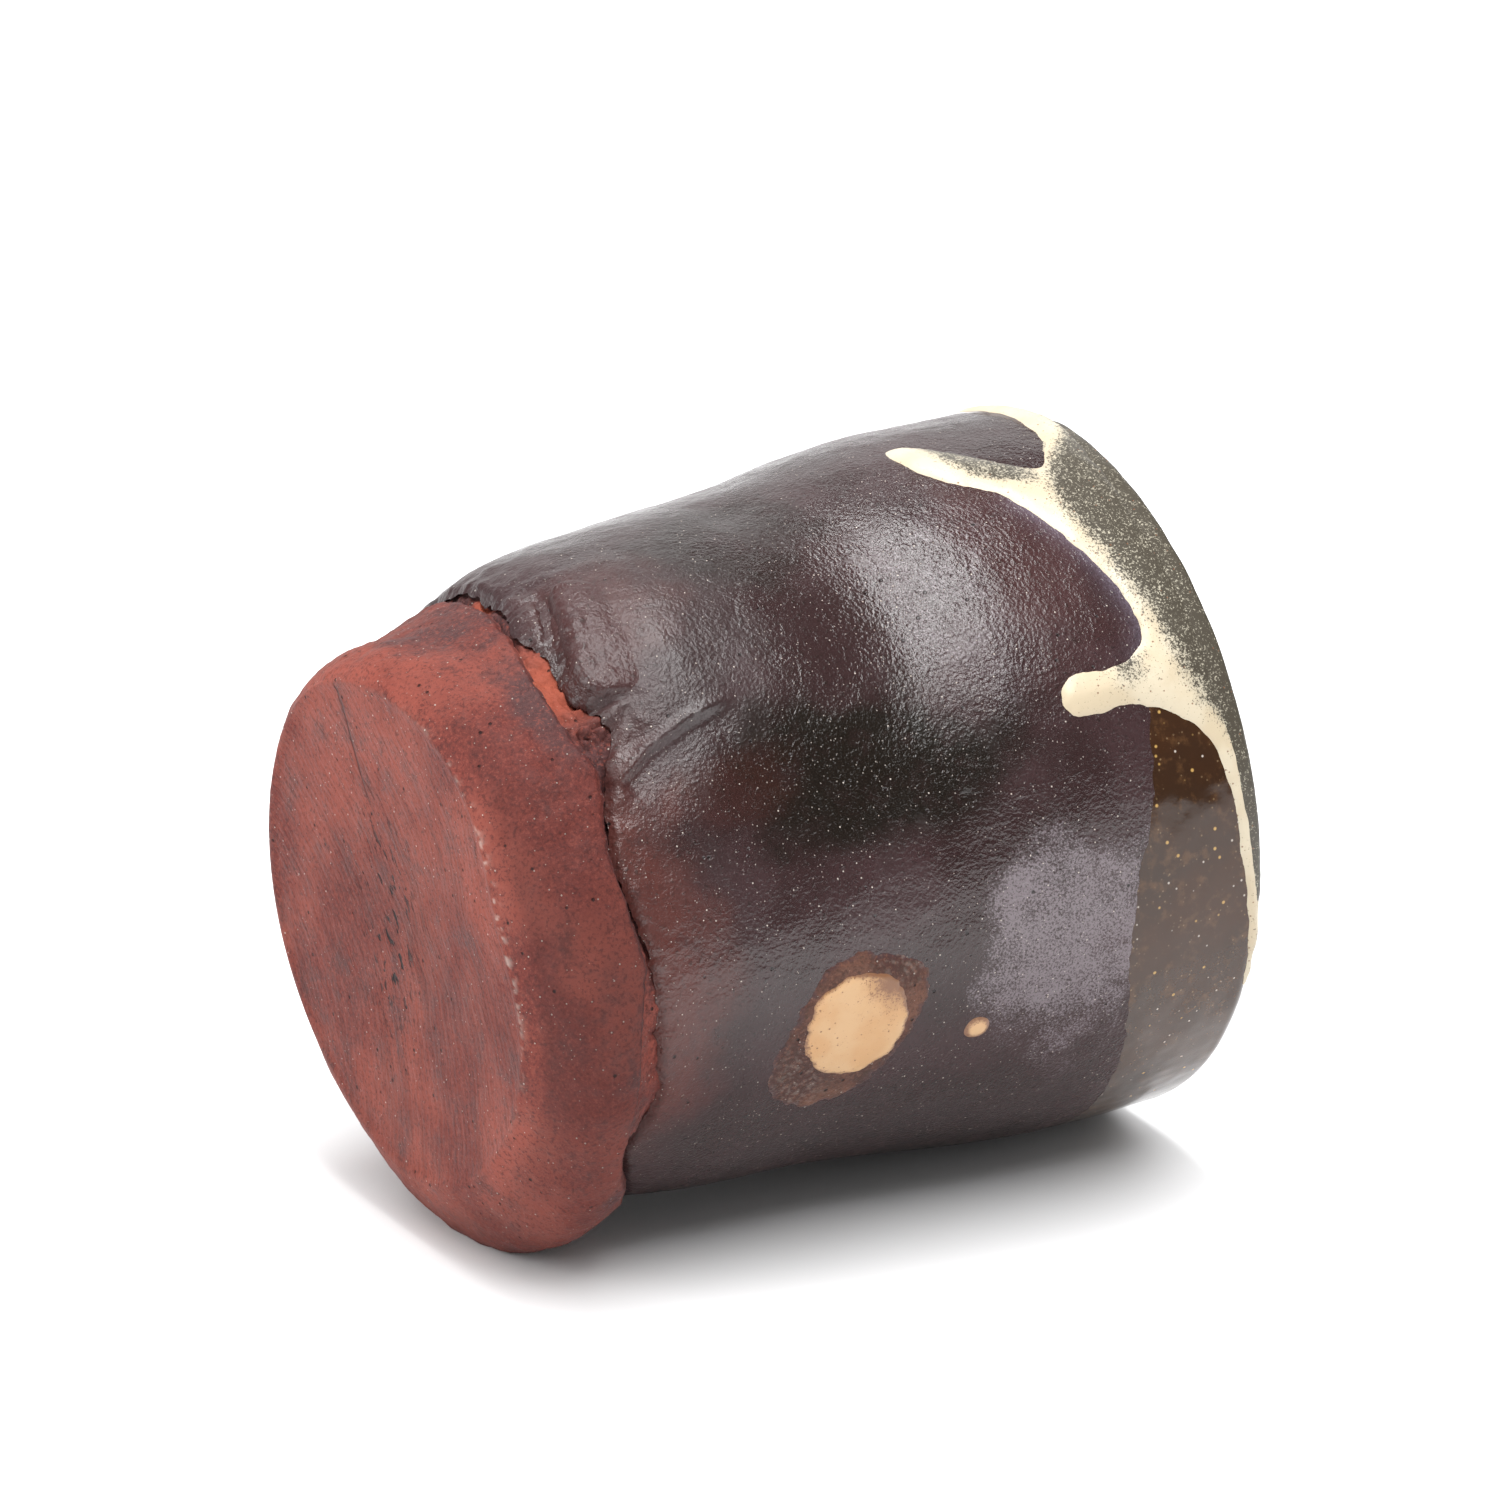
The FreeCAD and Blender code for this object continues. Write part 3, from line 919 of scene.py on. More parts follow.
@dataclass(frozen=True)
class RawClayFinish:
    """Bare fired clay: matte, sandy, blushed darker in places, with painted shade on shaded sides and in
    the seam and a painted highlight on worn edges.
    """

    name: str
    base: Tint
    warm: Tint
    dark: Tint
    roughness: float = 0.66
    cut_face: bool = False

    def make(self) -> bpy.types.Material:
        """Lays out the nodes.

        Returns:
            The material.
        """
        b = Bench(self.name)
        wide = b.clouds(13.0, 3.0, 0.5, 1.3)
        mid = b.clouds(2.6, 4.0, 0.65, 5.1)
        fine = b.clouds(0.30, 2.0, 0.75, 2.2)
        colour = b.blend(b.ramp(wide, 0.40, 0.62), self.base, self.warm)
        colour = b.blend(b.ramp(mid, 0.50, 0.72, 0.0, 0.6), colour, self.dark)
        uneven = b.sum("MULTIPLY", b.sum("SUBTRACT", mid, 0.5), 0.9)
        # A greyer, darker tone: real blushed clay in places, and painted shade where the pieces mark
        # shaded sides and the seam.
        blush_and_painted_shade = b.ramp(b.sum("ADD", b.mark("blush_and_painted_shade"), uneven), 0.18, 0.85)
        colour = b.blend(b.sum("MULTIPLY", blush_and_painted_shade, 0.9), colour, Tint.GREY_BLUSH_AND_SHADE)
        colour = b.blend(b.ramp(fine, 0.50, 0.66, 0.0, 0.60), colour, self.dark)
        colour = b.blend(b.ramp(fine, 0.48, 0.34, 0.0, 0.55), colour, self.warm)
        sand = b.dots(1.1, 0.095, 3.0)
        colour = b.blend(b.sum("MULTIPLY", sand, 0.75), colour, Tint.SPECK)
        grit = b.sum("MULTIPLY", b.dots(0.62, 0.11, 6.0), b.ramp(mid, 0.36, 0.56))
        colour = b.blend(b.sum("MULTIPLY", grit, 0.55), colour, Tint.SPECK)
        # Pale worn flecks; on the foot's face edge they are partly a painted highlight.
        colour = b.blend(b.mark("worn"), colour, Tint.SPECK)
        # Painted shade: darker clay up the foot's side, most on the side facing the viewer.
        colour = b.blend(b.sum("MULTIPLY", b.mark("shade"), 0.52), colour, self.dark)
        colour = b.blend(b.mark("fresh"), colour, Tint.ORANGE_CLAY)
        pits = b.dots(2.0, 0.10, 9.0)
        colour = b.blend(b.sum("MULTIPLY", pits, 0.85), colour, Tint.PIT)
        relief = b.sum("ADD", b.sum("MULTIPLY", fine, 0.9), b.sum("MULTIPLY", mid, 1.6))
        relief = b.sum("SUBTRACT", relief, b.sum("MULTIPLY", pits, 1.6))
        relief = b.sum("ADD", relief, b.sum("MULTIPLY", sand, 0.6))
        normal = b.bump(relief, 0.105)
        if self.cut_face:
            drag = b.pair("arc", "sweep", 0.10)
            streaks = b.clouds(0.38, 2.0, 0.6, 0.0, drag)
            broad = b.clouds(1.5, 2.0, 0.5, 4.0, drag)
            face = b.mark("face")
            shade = b.sum("MULTIPLY", face, b.ramp(broad, 0.50, 0.68, 0.0, 0.28))
            colour = b.blend(shade, colour, self.dark)
            shade = b.sum("MULTIPLY", face, b.ramp(streaks, 0.52, 0.70, 0.0, 0.36))
            colour = b.blend(shade, colour, self.dark)
            shade = b.sum("MULTIPLY", face, b.ramp(streaks, 0.46, 0.32, 0.0, 0.40))
            colour = b.blend(shade, colour, Tint.RED_CLAY_LIGHT)
            torn = b.clouds(0.8, 2.0, 0.6, 9.0, b.pair("arc", "sweep", 0.40))
            nicks = b.sum("MULTIPLY", face, b.ramp(torn, 0.575, 0.62))
            nicks = b.sum("MULTIPLY", nicks, b.mark("pitted"))
            colour = b.blend(nicks, colour, Tint.PIT)
            lines = b.sum("MULTIPLY", b.mark("cut"), 0.55)
            lines = b.sum("ADD", lines, b.sum("MULTIPLY", b.sum("MULTIPLY", face, streaks), 0.9))
            lines = b.sum("SUBTRACT", lines, nicks)
            lines = b.sum("SUBTRACT", lines, b.mark("scratch"))
            colour = b.blend(b.sum("MULTIPLY", b.mark("scratch"), 0.8), colour, Tint.PIT)
            normal = b.bump(lines, 0.11, normal)
        rough = b.ramp(mid, 0.3, 0.7, self.roughness + 0.08, self.roughness - 0.10)
        return b.finish(colour, rough, normal, 0.22)


@dataclass(frozen=True)
class IronGlazeFinish:
    """Dark iron glaze: plum brown, half glossy, pricked with pinholes and pale specks, with silvery
    patches that are partly crystals and partly painted sheen.
    """

    name: str

    def make(self) -> bpy.types.Material:
        """Lays out the nodes.

        Returns:
            The material.
        """
        b = Bench(self.name)
        wide = b.clouds(12.0, 3.0, 0.5, 0.4)
        mid = b.clouds(2.2, 4.0, 0.65, 2.7)
        fine = b.clouds(0.36, 2.0, 0.6, 7.3)
        dust = b.clouds(0.20, 2.0, 0.8, 3.9)
        colour = b.blend(b.ramp(wide, 0.4, 0.62), Tint.PLUM_IRON, Tint.PLUM_LIGHT)
        olive = b.sum("MULTIPLY", b.mark("olive"), b.ramp(mid, 0.3, 0.55, 0.6, 1.0))
        colour = b.blend(olive, colour, Tint.OLIVE_BLACK)
        red = b.sum("MULTIPLY", b.mark("red"), b.ramp(mid, 0.25, 0.50, 0.3, 1.0))
        colour = b.blend(red, colour, Tint.RED_IRON)
        colour = b.blend(b.ramp(fine, 0.55, 0.72, 0.0, 0.5), colour, Tint.OLIVE_BLACK)
        # Silvery patches broken up by fine dust: partly matte crystals in the glaze, partly a painted
        # reflection of the white table and a painted highlight.
        crystals_and_painted_sheen = b.sum("ADD", b.mark("crystals_and_painted_sheen"), b.sum("MULTIPLY", b.sum("SUBTRACT", dust, 0.5), 2.6))
        crystals_and_painted_sheen = b.sum("ADD", crystals_and_painted_sheen, b.sum("MULTIPLY", b.sum("SUBTRACT", mid, 0.5), 0.9))
        crystals_and_painted_sheen = b.sum("MULTIPLY", b.ramp(crystals_and_painted_sheen, 0.22, 0.78), b.ramp(b.mark("crystals_and_painted_sheen"), 0.02, 0.30))
        colour = b.blend(b.sum("MULTIPLY", crystals_and_painted_sheen, 0.80), colour, Tint.SILVER_PAINTED_SHEEN)
        fringe = b.sum("MULTIPLY", b.mark("violet"), b.ramp(dust, 0.36, 0.60, 0.5, 1.0))
        colour = b.blend(fringe, colour, Tint.VIOLET)
        specks = b.dots(1.15, 0.082, 3.0)
        colour = b.blend(b.sum("MULTIPLY", specks, 0.9), colour, Tint.SPECK)
        small = b.sum("MULTIPLY", b.dots(0.55, 0.13, 11.0), b.ramp(mid, 0.34, 0.52))
        colour = b.blend(b.sum("MULTIPLY", small, 0.6), colour, Tint.SPECK)
        pores = b.dots(2.3, 0.09, 6.0)
        colour = b.blend(pores, colour, Tint.PIT)
        relief = b.sum("ADD", b.sum("MULTIPLY", fine, 1.5), b.sum("MULTIPLY", mid, 0.4))
        relief = b.sum("SUBTRACT", relief, b.sum("MULTIPLY", pores, 1.0))
        relief = b.sum("ADD", relief, b.sum("MULTIPLY", specks, 0.5))
        relief = b.sum("ADD", relief, b.sum("MULTIPLY", small, 0.35))
        normal = b.bump(relief, 0.085)
        rough = b.ramp(b.sum("ADD", wide, b.sum("MULTIPLY", mid, 0.4)), 0.5, 0.9, 0.18, 0.30)
        rough = b.sum("ADD", rough, b.sum("MULTIPLY", b.mark("matte"), 0.30))
        return b.finish(colour, rough, normal, b.ramp(b.mark("gloss"), 0.0, 1.0, 0.19, 0.72))


@dataclass(frozen=True)
class AmberGlazeFinish:
    """Clear amber over dark clay, glossy, with golden flecks."""

    name: str
    flecks: bool = True

    def make(self) -> bpy.types.Material:
        """Lays out the nodes.

        Returns:
            The material.
        """
        b = Bench(self.name)
        wide = b.clouds(9.0, 3.0, 0.55, 3.3)
        mid = b.clouds(1.2, 4.0, 0.65, 8.0)
        colour = b.blend(b.ramp(wide, 0.38, 0.66), Tint.AMBER, Tint.LIP_BROWN)
        colour = b.blend(b.ramp(mid, 0.50, 0.72, 0.0, 0.6), colour, Tint.AMBER_LIGHT)
        if self.flecks:
            small = b.sum("MULTIPLY", b.dots(0.60, 0.20, 5.0), b.ramp(mid, 0.42, 0.58))
            colour = b.blend(b.sum("MULTIPLY", small, 0.65), colour, Tint.AMBER_PALE)
            big = b.dots(1.7, 0.12, 2.0)
            colour = b.blend(b.sum("MULTIPLY", big, 0.9), colour, Tint.GOLD_FLECK)
            colour = b.blend(b.sum("MULTIPLY", b.dots(1.4, 0.10, 8.0), 0.8), colour, Tint.SPECK)
        colour = b.blend(b.mark("lip"), colour, Tint.LIP_BROWN)
        relief = b.sum("ADD", b.sum("MULTIPLY", wide, 1.0), b.sum("MULTIPLY", mid, 0.35))
        normal = b.bump(relief, 0.06)
        return b.finish(colour, 0.12, normal, 0.5)


@dataclass(frozen=True)
class AshGlazeFinish:
    """Melted ash: cream, satin, breaking into dark specks where it thins."""

    name: str
    core: Tint
    pale: Tint
    thin: Tint
    under: Tint

    def make(self) -> bpy.types.Material:
        """Lays out the nodes.

        Returns:
            The material.
        """
        b = Bench(self.name)
        wide = b.clouds(4.0, 3.0, 0.5, 1.0)
        mid = b.clouds(0.9, 3.0, 0.6, 6.0)
        fine = b.clouds(0.19, 2.0, 0.8, 4.0)
        fade = b.mark("fade")
        uneven = b.sum("ADD", fade, b.sum("MULTIPLY", b.sum("SUBTRACT", mid, 0.5), 0.8))
        colour = b.blend(b.ramp(wide, 0.4, 0.62), self.core, self.pale)
        colour = b.blend(b.ramp(uneven, 0.10, 1.00), colour, self.thin)
        level = b.sum("ADD", b.sum("MULTIPLY", uneven, 0.30), fine)
        colour = b.blend(b.ramp(level, 0.635, 0.76, 0.0, 0.93), colour, self.under)
        pits = b.dots(0.85, 0.13, 2.0)
        colour = b.blend(b.sum("MULTIPLY", pits, 0.85), colour, Tint.PEACH_DARK)
        relief = b.sum("SUBTRACT", b.sum("MULTIPLY", fine, 0.4), b.sum("MULTIPLY", pits, 0.9))
        relief = b.sum("ADD", relief, b.sum("MULTIPLY", mid, 0.4))
        normal = b.bump(relief, 0.05)
        return b.finish(colour, 0.34, normal, 0.5)


# ---- the pieces --------------------------------------------------------------------


def full_turn(share: Array) -> Array:
    """Turns from -270 to 90 degrees, so that the join is at the back."""
    return share * 360.0 - 270.0


@dataclass
class FootBlock(Piece):
    """The thick unglazed block of clay cut off the wheel with a wire."""

    across: int = 620
    along: int = 200
    face_share: float = 0.34
    side_share: float = 0.50
    cut_pitch: float = 0.9
    worn_turn: float = -113.0
    worn_width: float = 22.0
    worn_depth: float = 2.3
    worn_height: float = 2.6
    dish_depth: float = 0.85
    edge_depth: float = 0.22
    top_rounding: float = 0.70
    face_radius: float = 22.4
    wire_hub: tuple[float, float] = (22.0, 40.0)
    wire_reach: float = 45.0
    scratch: Line = (
        (-22.4, 9.5), (-20.1, 8.6), (-17.5, 7.3), (-11.8, 5.0), (-8.3, 3.3), (-3.0, 3.4), (0.0, 2.2),
        (5.4, 1.9), (22.4, 0.5),
    )

    def section(self, u: Array, v: Array) -> tuple[Array, Array, Array]:
        """Face, side and hidden top of the block, from middle to middle.

        Args:
            u: shares of the way round, 0 to 1.
            v: shares of the way along the section, 0 to 1.

        Returns:
            Turns in degrees, heights and radii in millimetres.
        """
        turn = full_turn(u)
        edge = self.form.block_edge(turn)
        worn = self.worn_depth * turn_bell(turn, self.worn_turn, self.worn_width)
        rim = self.form.foot(turn, np.zeros_like(turn)) - worn
        side_end = self.face_share + self.side_share
        on_face = v < self.face_share
        face = stretch(v, 0.0, self.face_share)
        side = stretch(v, self.face_share, side_end)
        top = stretch(v, side_end, 1.0)
        climb = edge * (0.55 * side + 0.45 * side**1.6)
        out = self.form.foot(turn, climb) - worn * np.exp(-climb / self.worn_height)
        radius = np.where(on_face, rim * face, out)
        rounding = self.top_rounding * soft_step(side, 0.93, 1.0) ** 2
        radius = np.where(on_face, radius, (radius - rounding) * (1.0 - top))
        dish = self.dish_depth * (1.0 - soft_step(face, 0.0, 0.985))
        dish = dish + self.edge_depth * (1.0 - soft_step(face, 0.95, 0.99))
        height = np.where(on_face, dish, climb)
        points = upright(turn, height, radius)
        rough = grain(points, 9.0, 3.1, 3) * 0.30 + grain(points, 1.9, 8.4, 4) * 0.13
        worn_side = soft_step(side, 0.0, 0.05)
        radius = radius + np.where(on_face, 0.0, rough * worn_side * (1.0 - top))
        height = height + np.where(on_face, -rough * 0.35 * (1 - face**8), 0.0)
        return turn, height, radius

    def build(self) -> "FootBlock":
        """Makes the mesh and its marks.

        Returns:
            This piece, built.
        """
        piece = self.wrap("foot_block_body", self.across, self.along, self.section)
        self.keep_above(0.0)
        turn = self.read("turn")
        height = self.read("height")
        flat = np.radians(turn)
        share = self.face_share_of()
        x = share * self.face_radius * np.cos(flat)
        y = share * self.face_radius * np.sin(flat)
        flat_points = np.stack([x, y, 0 * x], 1)
        hub_x, hub_y = self.wire_hub
        arc = np.hypot(x - hub_x, y - hub_y) + 0.5 * grain(flat_points, 7.0, 1.0)
        sweep = np.arctan2(y - hub_y, x - hub_x) * self.wire_reach
        on_face = 1.0 - soft_step(share, 0.97, 1.0)
        lines = 0.5 + 0.5 * np.sin(arc / self.cut_pitch * 2 * math.pi)
        write_mark(piece, "cut", lines * on_face * 0.5)
        write_mark(piece, "arc", arc * MM)
        write_mark(piece, "sweep", sweep * MM)
        write_mark(piece, "face", on_face)
        from_drag = y - soft_line(x, *zip(*self.scratch))
        along_drag = soft_step(-x, -1.0, 5.0)
        write_mark(piece, "scratch", bell(from_drag, 0.0, 0.16) * on_face * soft_step(-x, 8.0, 14.0))
        pitted = 1.3 * bell(x, 1.0, 9.0) * bell(y, 2.5, 4.5)
        pitted = pitted + 0.25 * along_drag * bell(from_drag, 0.0, 5.0)
        write_mark(piece, "pitted", np.clip(pitted, 0, 1))
        # Pale flecks on the face's worn edge, on the side seen: partly real wear, partly a painted
        # highlight where the edge catches the light.
        chips = soft_step(grain(read_places(piece) / MM, 0.9, 4.0), 0.05, 0.40)
        near_edge = bell(share, 0.995, 0.007) * np.exp(-np.maximum(height - 0.05, 0.0) / 0.12)
        wear_and_glint_side = turn_bell(turn, -118.0, 36.0)
        write_mark(piece, "worn", near_edge * chips * wear_and_glint_side * 0.75)
        # Greyer, darker clay on the upper side and far top. On the side facing the viewer, under the foot
        # by the table and in the strip just below the block's edge at the seam, it is painted shade. The
        # smudge along the drag on the face is a real mark.
        upper = turn_bell(turn, -151.0, 17.0) * soft_step(height, 3.5, 8.5)
        far_top = turn_bell(turn, 168.0, 20.0) * soft_step(height, 1.0, 5.0)
        lower = turn_bell(turn, -92.0, 30.0) * soft_step(height, 2.0, 6.0)
        under = turn_bell(turn, -30.0, 40.0) * soft_step(height, 3.0, 8.0)
        smudge = bell(from_drag, 0.0, 1.8) * on_face * 0.42
        # Painted shade on the block's side, strongest on the side facing the viewer.
        toward_viewer_shade = turn_bell(turn, -95.0, 48.0)
        write_mark(piece, "shade", soft_step(height, 0.3, 1.6) * (0.35 + 0.65 * toward_viewer_shade))
        below_edge = self.form.block_edge(turn) - height
        gap = bell(below_edge, 0.0, 0.45) * turn_bell(turn, -92.0, 32.0)
        blush_and_painted_shade = 0.85 * upper + 0.7 * far_top + 0.40 * lower + 0.4 * under + smudge + 0.9 * gap
        write_mark(piece, "blush_and_painted_shade", np.clip(blush_and_painted_shade, 0, 1))
        sew(piece)
        return self

    def face_share_of(self) -> Array:
        """How far out each vertex lies on the foot face, 1 at and beyond its edge."""
        v = np.repeat(np.linspace(0.0, 1.0, self.along + 1), self.across + 1)
        return stretch(v, 0.0, self.face_share)


@dataclass
class SeamCoil(Piece):
    """Raw red clay showing in the torn seam between the block and the wall."""

    across: int = 620
    along: int = 44
    outer_share: float = 0.82
    tuck: float = 0.9
    bore: float = 21.0

    def section(self, u: Array, v: Array) -> tuple[Array, Array, Array]:
        """A closed loop: outer torn face, then back inside.

        Args:
            u: shares of the way round, 0 to 1.
            v: shares of the way along the section, 0 to 1.

        Returns:
            Turns in degrees, heights and radii in millimetres.
        """
        turn = full_turn(u)
        low = self.form.block_edge(turn)
        high = np.maximum(self.form.skin_edge(turn), low + 0.15)
        outer = stretch(v, 0.0, self.outer_share)
        inner = stretch(v, self.outer_share, 1.0)
        height = (low - self.tuck) + (high - low + 2 * self.tuck) * outer
        height = height - (high - low + 2 * self.tuck) * inner
        share = stretch(height, low, high)
        proud = turn_bell(turn, -80.0, 17.0)
        wedge = turn_bell(turn, -156.0, 10.0)
        crack = turn_bell(turn, -118.0, 16.0)
        recess = 0.95 - 0.45 * proud - 0.10 * wedge + 0.45 * crack
        radius = self.form.foot(turn, low) * (1 - share) + self.form.wall(turn, high) * share - recess
        points = upright(turn, height, radius)
        lumps = turn_bell(turn, -142.5, 5.0) + 0.35 * turn_bell(turn, -168.0, 6.0)
        rough = 0.26 * grain(points, 1.3, 2.0, 4) + 0.10 * grain(points, 0.5, 7.0, 2)
        radius = radius + rough + lumps * (0.75 * cells(points, 1.15, 3.0) + 0.05)
        inward = self.bore + (radius - self.bore) * (np.abs(inner - 0.5) * 2) ** 6
        return turn, height, np.where(inner > 0, inward, radius)

    def build(self) -> "SeamCoil":
        """Makes the mesh.

        Returns:
            This piece, built.
        """
        piece = self.wrap("seam_coil_ring", self.across, self.along, self.section)
        self.keep_above(0.3 * MM)
        turn = self.read("turn")
        raw = turn_bell(turn, -157.0, 10.0) + turn_bell(turn, 168.0, 3.5)
        ledge = turn_bell(turn, -80.0, 22.0)
        write_mark(piece, "fresh", np.clip(0.62 * raw, 0, 1))
        # Painted shade: the recessed seam clay is darkened, except at the raw spots and less on the proud
        # ledge.
        write_mark(piece, "blush_and_painted_shade", np.clip(0.85 * (1.0 - raw - 0.5 * ledge), 0, 1))
        write_mark(piece, "worn", np.zeros(len(turn)))
        sew(piece)
        return self


@dataclass
class CupWall(Piece):
    """The thrown clay wall and the floor inside it, under its glazes."""

    across: int = 240
    along: int = 90
    floor: float = 17.6
    low_wall: float = 4.6
    lip_wall: float = 2.2
    corner_depth: float = 6.0
    corner_height: float = 7.0

    def thickness(self, height: Array) -> Array:
        """Thickness of the clay at a height."""
        share = stretch(height, self.floor, self.form.height)
        return self.low_wall + (self.lip_wall - self.low_wall) * share

    def hollow(self, turn: Array, height: Array) -> Array:
        """Radius of the hollow in the clay.

        Args:
            turn: turns in degrees.
            height: heights in millimetres.

        Returns:
            Radii in millimetres.
        """
        base = self.form.smooth_wall(turn, height) - self.form.glaze - self.thickness(height)
        corner = 1.0 - soft_step(height, self.floor, self.floor + self.corner_height)
        return base - self.corner_depth * corner**2

    def section(self, u: Array, v: Array) -> tuple[Array, Array, Array]:
        """From the hidden underside, up the outside, over the lip and down inside.

        Args:
            u: shares of the way round, 0 to 1.
            v: shares of the way along the section, 0 to 1.

        Returns:
            Turns in degrees, heights and radii in millimetres.
        """
        turn = full_turn(u)
        bottom = self.form.skin_edge(turn) + 0.3
        top = self.form.height - self.form.glaze
        under = stretch(v, 0.0, 0.12)
        outside = stretch(v, 0.12, 0.48)
        across = stretch(v, 0.48, 0.52)
        inside = stretch(v, 0.52, 0.86)
        floor = stretch(v, 0.86, 1.0)
        height = bottom + (top - bottom) * outside - (top - self.floor) * inside
        out = self.form.wall(turn, height) - self.form.glaze
        hole = self.hollow(turn, height)
        radius = np.where(v < 0.5, out * under, hole * (1 - floor))
        radius = np.where((v >= 0.48) & (v <= 0.52), out + (hole - out) * across, radius)
        return turn, height, radius

    def build(self) -> "CupWall":
        """Makes the mesh.

        Returns:
            This piece, built.
        """
        piece = self.wrap("cup_wall_clay", self.across, self.along, self.section)
        count = len(piece.data.vertices)
        self.keep_above(0.4 * MM)
        write_mark(piece, "blush_and_painted_shade", np.full(count, 0.6))
        write_mark(piece, "worn", np.zeros(count))
        sew(piece)
        return self


@dataclass(frozen=True)
class Blot:
    """A soft patch of another colour on the dark glaze."""

    strength: float
    turn: float
    height: float
    turn_width: float
    height_width: float
    lean: float = 0.0

    def at(self, turn: Array, height: Array, drift: Array) -> Array:
        """How strongly the patch shows.

        Args:
            turn: turns in degrees.
            height: heights in millimetres.
            drift: unevenness that makes its edge wander.

        Returns:
            Numbers from 0 to its strength.
        """
        up = height - self.height
        side = wrapped(turn, self.turn) - self.lean * up
        away = np.sqrt((side / self.turn_width) ** 2 + (up / self.height_width) ** 2)
        return self.strength * (1.0 - soft_step(away + 0.35 * drift, 0.55, 1.15))


@dataclass
class BodyGlaze(Piece):
    """The dark iron glaze from the seam up to the glaze line."""

    across: int = 600
    along: int = 164
    outer_share: float = 156 / 164
    # Silvery patches: the low one facing the viewer is partly crystals and partly a painted reflection of
    # the white table; the one by the overhead lamp's reflection is a painted highlight; the one near the
    # seam is a painted sheen.
    crystals_and_painted_sheen: tuple[Blot, ...] = (
        Blot(0.60, -87, 49.0, 25, 9.5),
        Blot(0.24, -146, 46, 24, 7, -0.8),
        Blot(0.12, -152, 20, 16, 9),
    )
    red: tuple[Blot, ...] = (
        Blot(0.22, -124, 21, 8, 7),
        Blot(0.62, -95, 13, 34, 6),
        Blot(0.22, -150, 54, 24, 7),
        Blot(0.40, -165, 17, 16, 8),
    )
    olive: tuple[Blot, ...] = (Blot(1.0, -122, 33, 17, 15), Blot(0.6, -175, 33, 16, 9))
    matte: tuple[Blot, ...] = (Blot(0.55, -87, 49, 25, 9.5), Blot(0.5, -155, 21, 24, 10))
    violet: Blot = Blot(0.60, -146, 58, 17, 9)

    def section(self, u: Array, v: Array) -> tuple[Array, Array, Array]:
        """A closed loop: the outer face, then back against the clay.

        Args:
            u: shares of the way round, 0 to 1.
            v: shares of the way along the section, 0 to 1.

        Returns:
            Turns in degrees, heights and radii in millimetres.
        """
        turn = full_turn(u)
        low = self.form.skin_edge(turn)
        high = self.form.glaze_line(turn)
        outer = stretch(v, 0.0, self.outer_share)
        inner = stretch(v, self.outer_share, 1.0)
        height = low + (high - low) * outer - (high - low) * inner
        radius = self.form.wall(turn, height)
        points = upright(turn, height, radius)
        near_seam = 1.0 - soft_step(height - low, 0.0, 7.0)
        upper_front = turn_bell(turn, -165.0, 26.0)
        rough = 0.11 * grain(points, 6.0, 5.0, 3) + 0.025 * grain(points, 1.3, 9.0, 3)
        rough = rough + near_seam * (0.16 + 0.34 * upper_front) * grain(points, 2.0, 1.0, 4)
        collar = upper_front * (1.0 - soft_step(height, 16.0, 34.0))
        rough = rough + 0.10 * collar * grain(points, 1.6, 13.0, 3)
        edge_round = 0.55 * (1.0 - soft_step(height - low, 0.0, 0.9)) ** 2
        radius = radius + rough - edge_round
        under = 0.62 + 0.4 * np.sin(math.pi * inner)
        inward = under * soft_step(inner, 0.0, 0.3) * (1 - soft_step(inner, 0.7, 1.0))
        return turn, height, np.where(inner > 0, radius - inward, radius)

    def build(self) -> "BodyGlaze":
        """Makes the mesh and paints its marks.

        Returns:
            This piece, built.
        """
        piece = self.wrap("body_glaze_coat", self.across, self.along, self.section)
        self.keep_above(0.0)
        turn, height = self.read("turn"), self.read("height")
        drift = grain(read_places(piece) / MM, 7.0, 12.0, 3)
        crystals_and_painted_sheen = np.max([blot.at(turn, height, drift) for blot in self.crystals_and_painted_sheen], axis=0)
        red = sum(blot.at(turn, height, drift) for blot in self.red)
        olive = sum(blot.at(turn, height, drift) for blot in self.olive)
        matte = sum(blot.at(turn, height, drift) for blot in self.matte)
        beside_seam = bell(height - self.form.skin_edge(turn), 0.0, 3.2)
        beside_seam = beside_seam * np.exp(-((wrapped(turn, -98.0) / 42.0) ** 4))
        low_down = 0.35 * soft_step(-height, -22.0, -13.0)
        run = CreamRun(self.form, self.lay)
        near_run = np.exp(-np.maximum(run.outside(turn, height), 0.0) / 0.8)
        write_mark(piece, "crystals_and_painted_sheen", crystals_and_painted_sheen)
        write_mark(piece, "red", np.clip(red + beside_seam, 0, 1))
        write_mark(piece, "olive", np.clip(olive, 0, 1))
        write_mark(piece, "matte", np.clip(matte + low_down, 0, 1))
        write_mark(piece, "gloss", soft_step(-wrapped(turn, -100.0), -45.0, 12.0))
        write_mark(piece, "violet", near_run * self.violet.at(turn, height, drift))
        sew(piece)
        return self


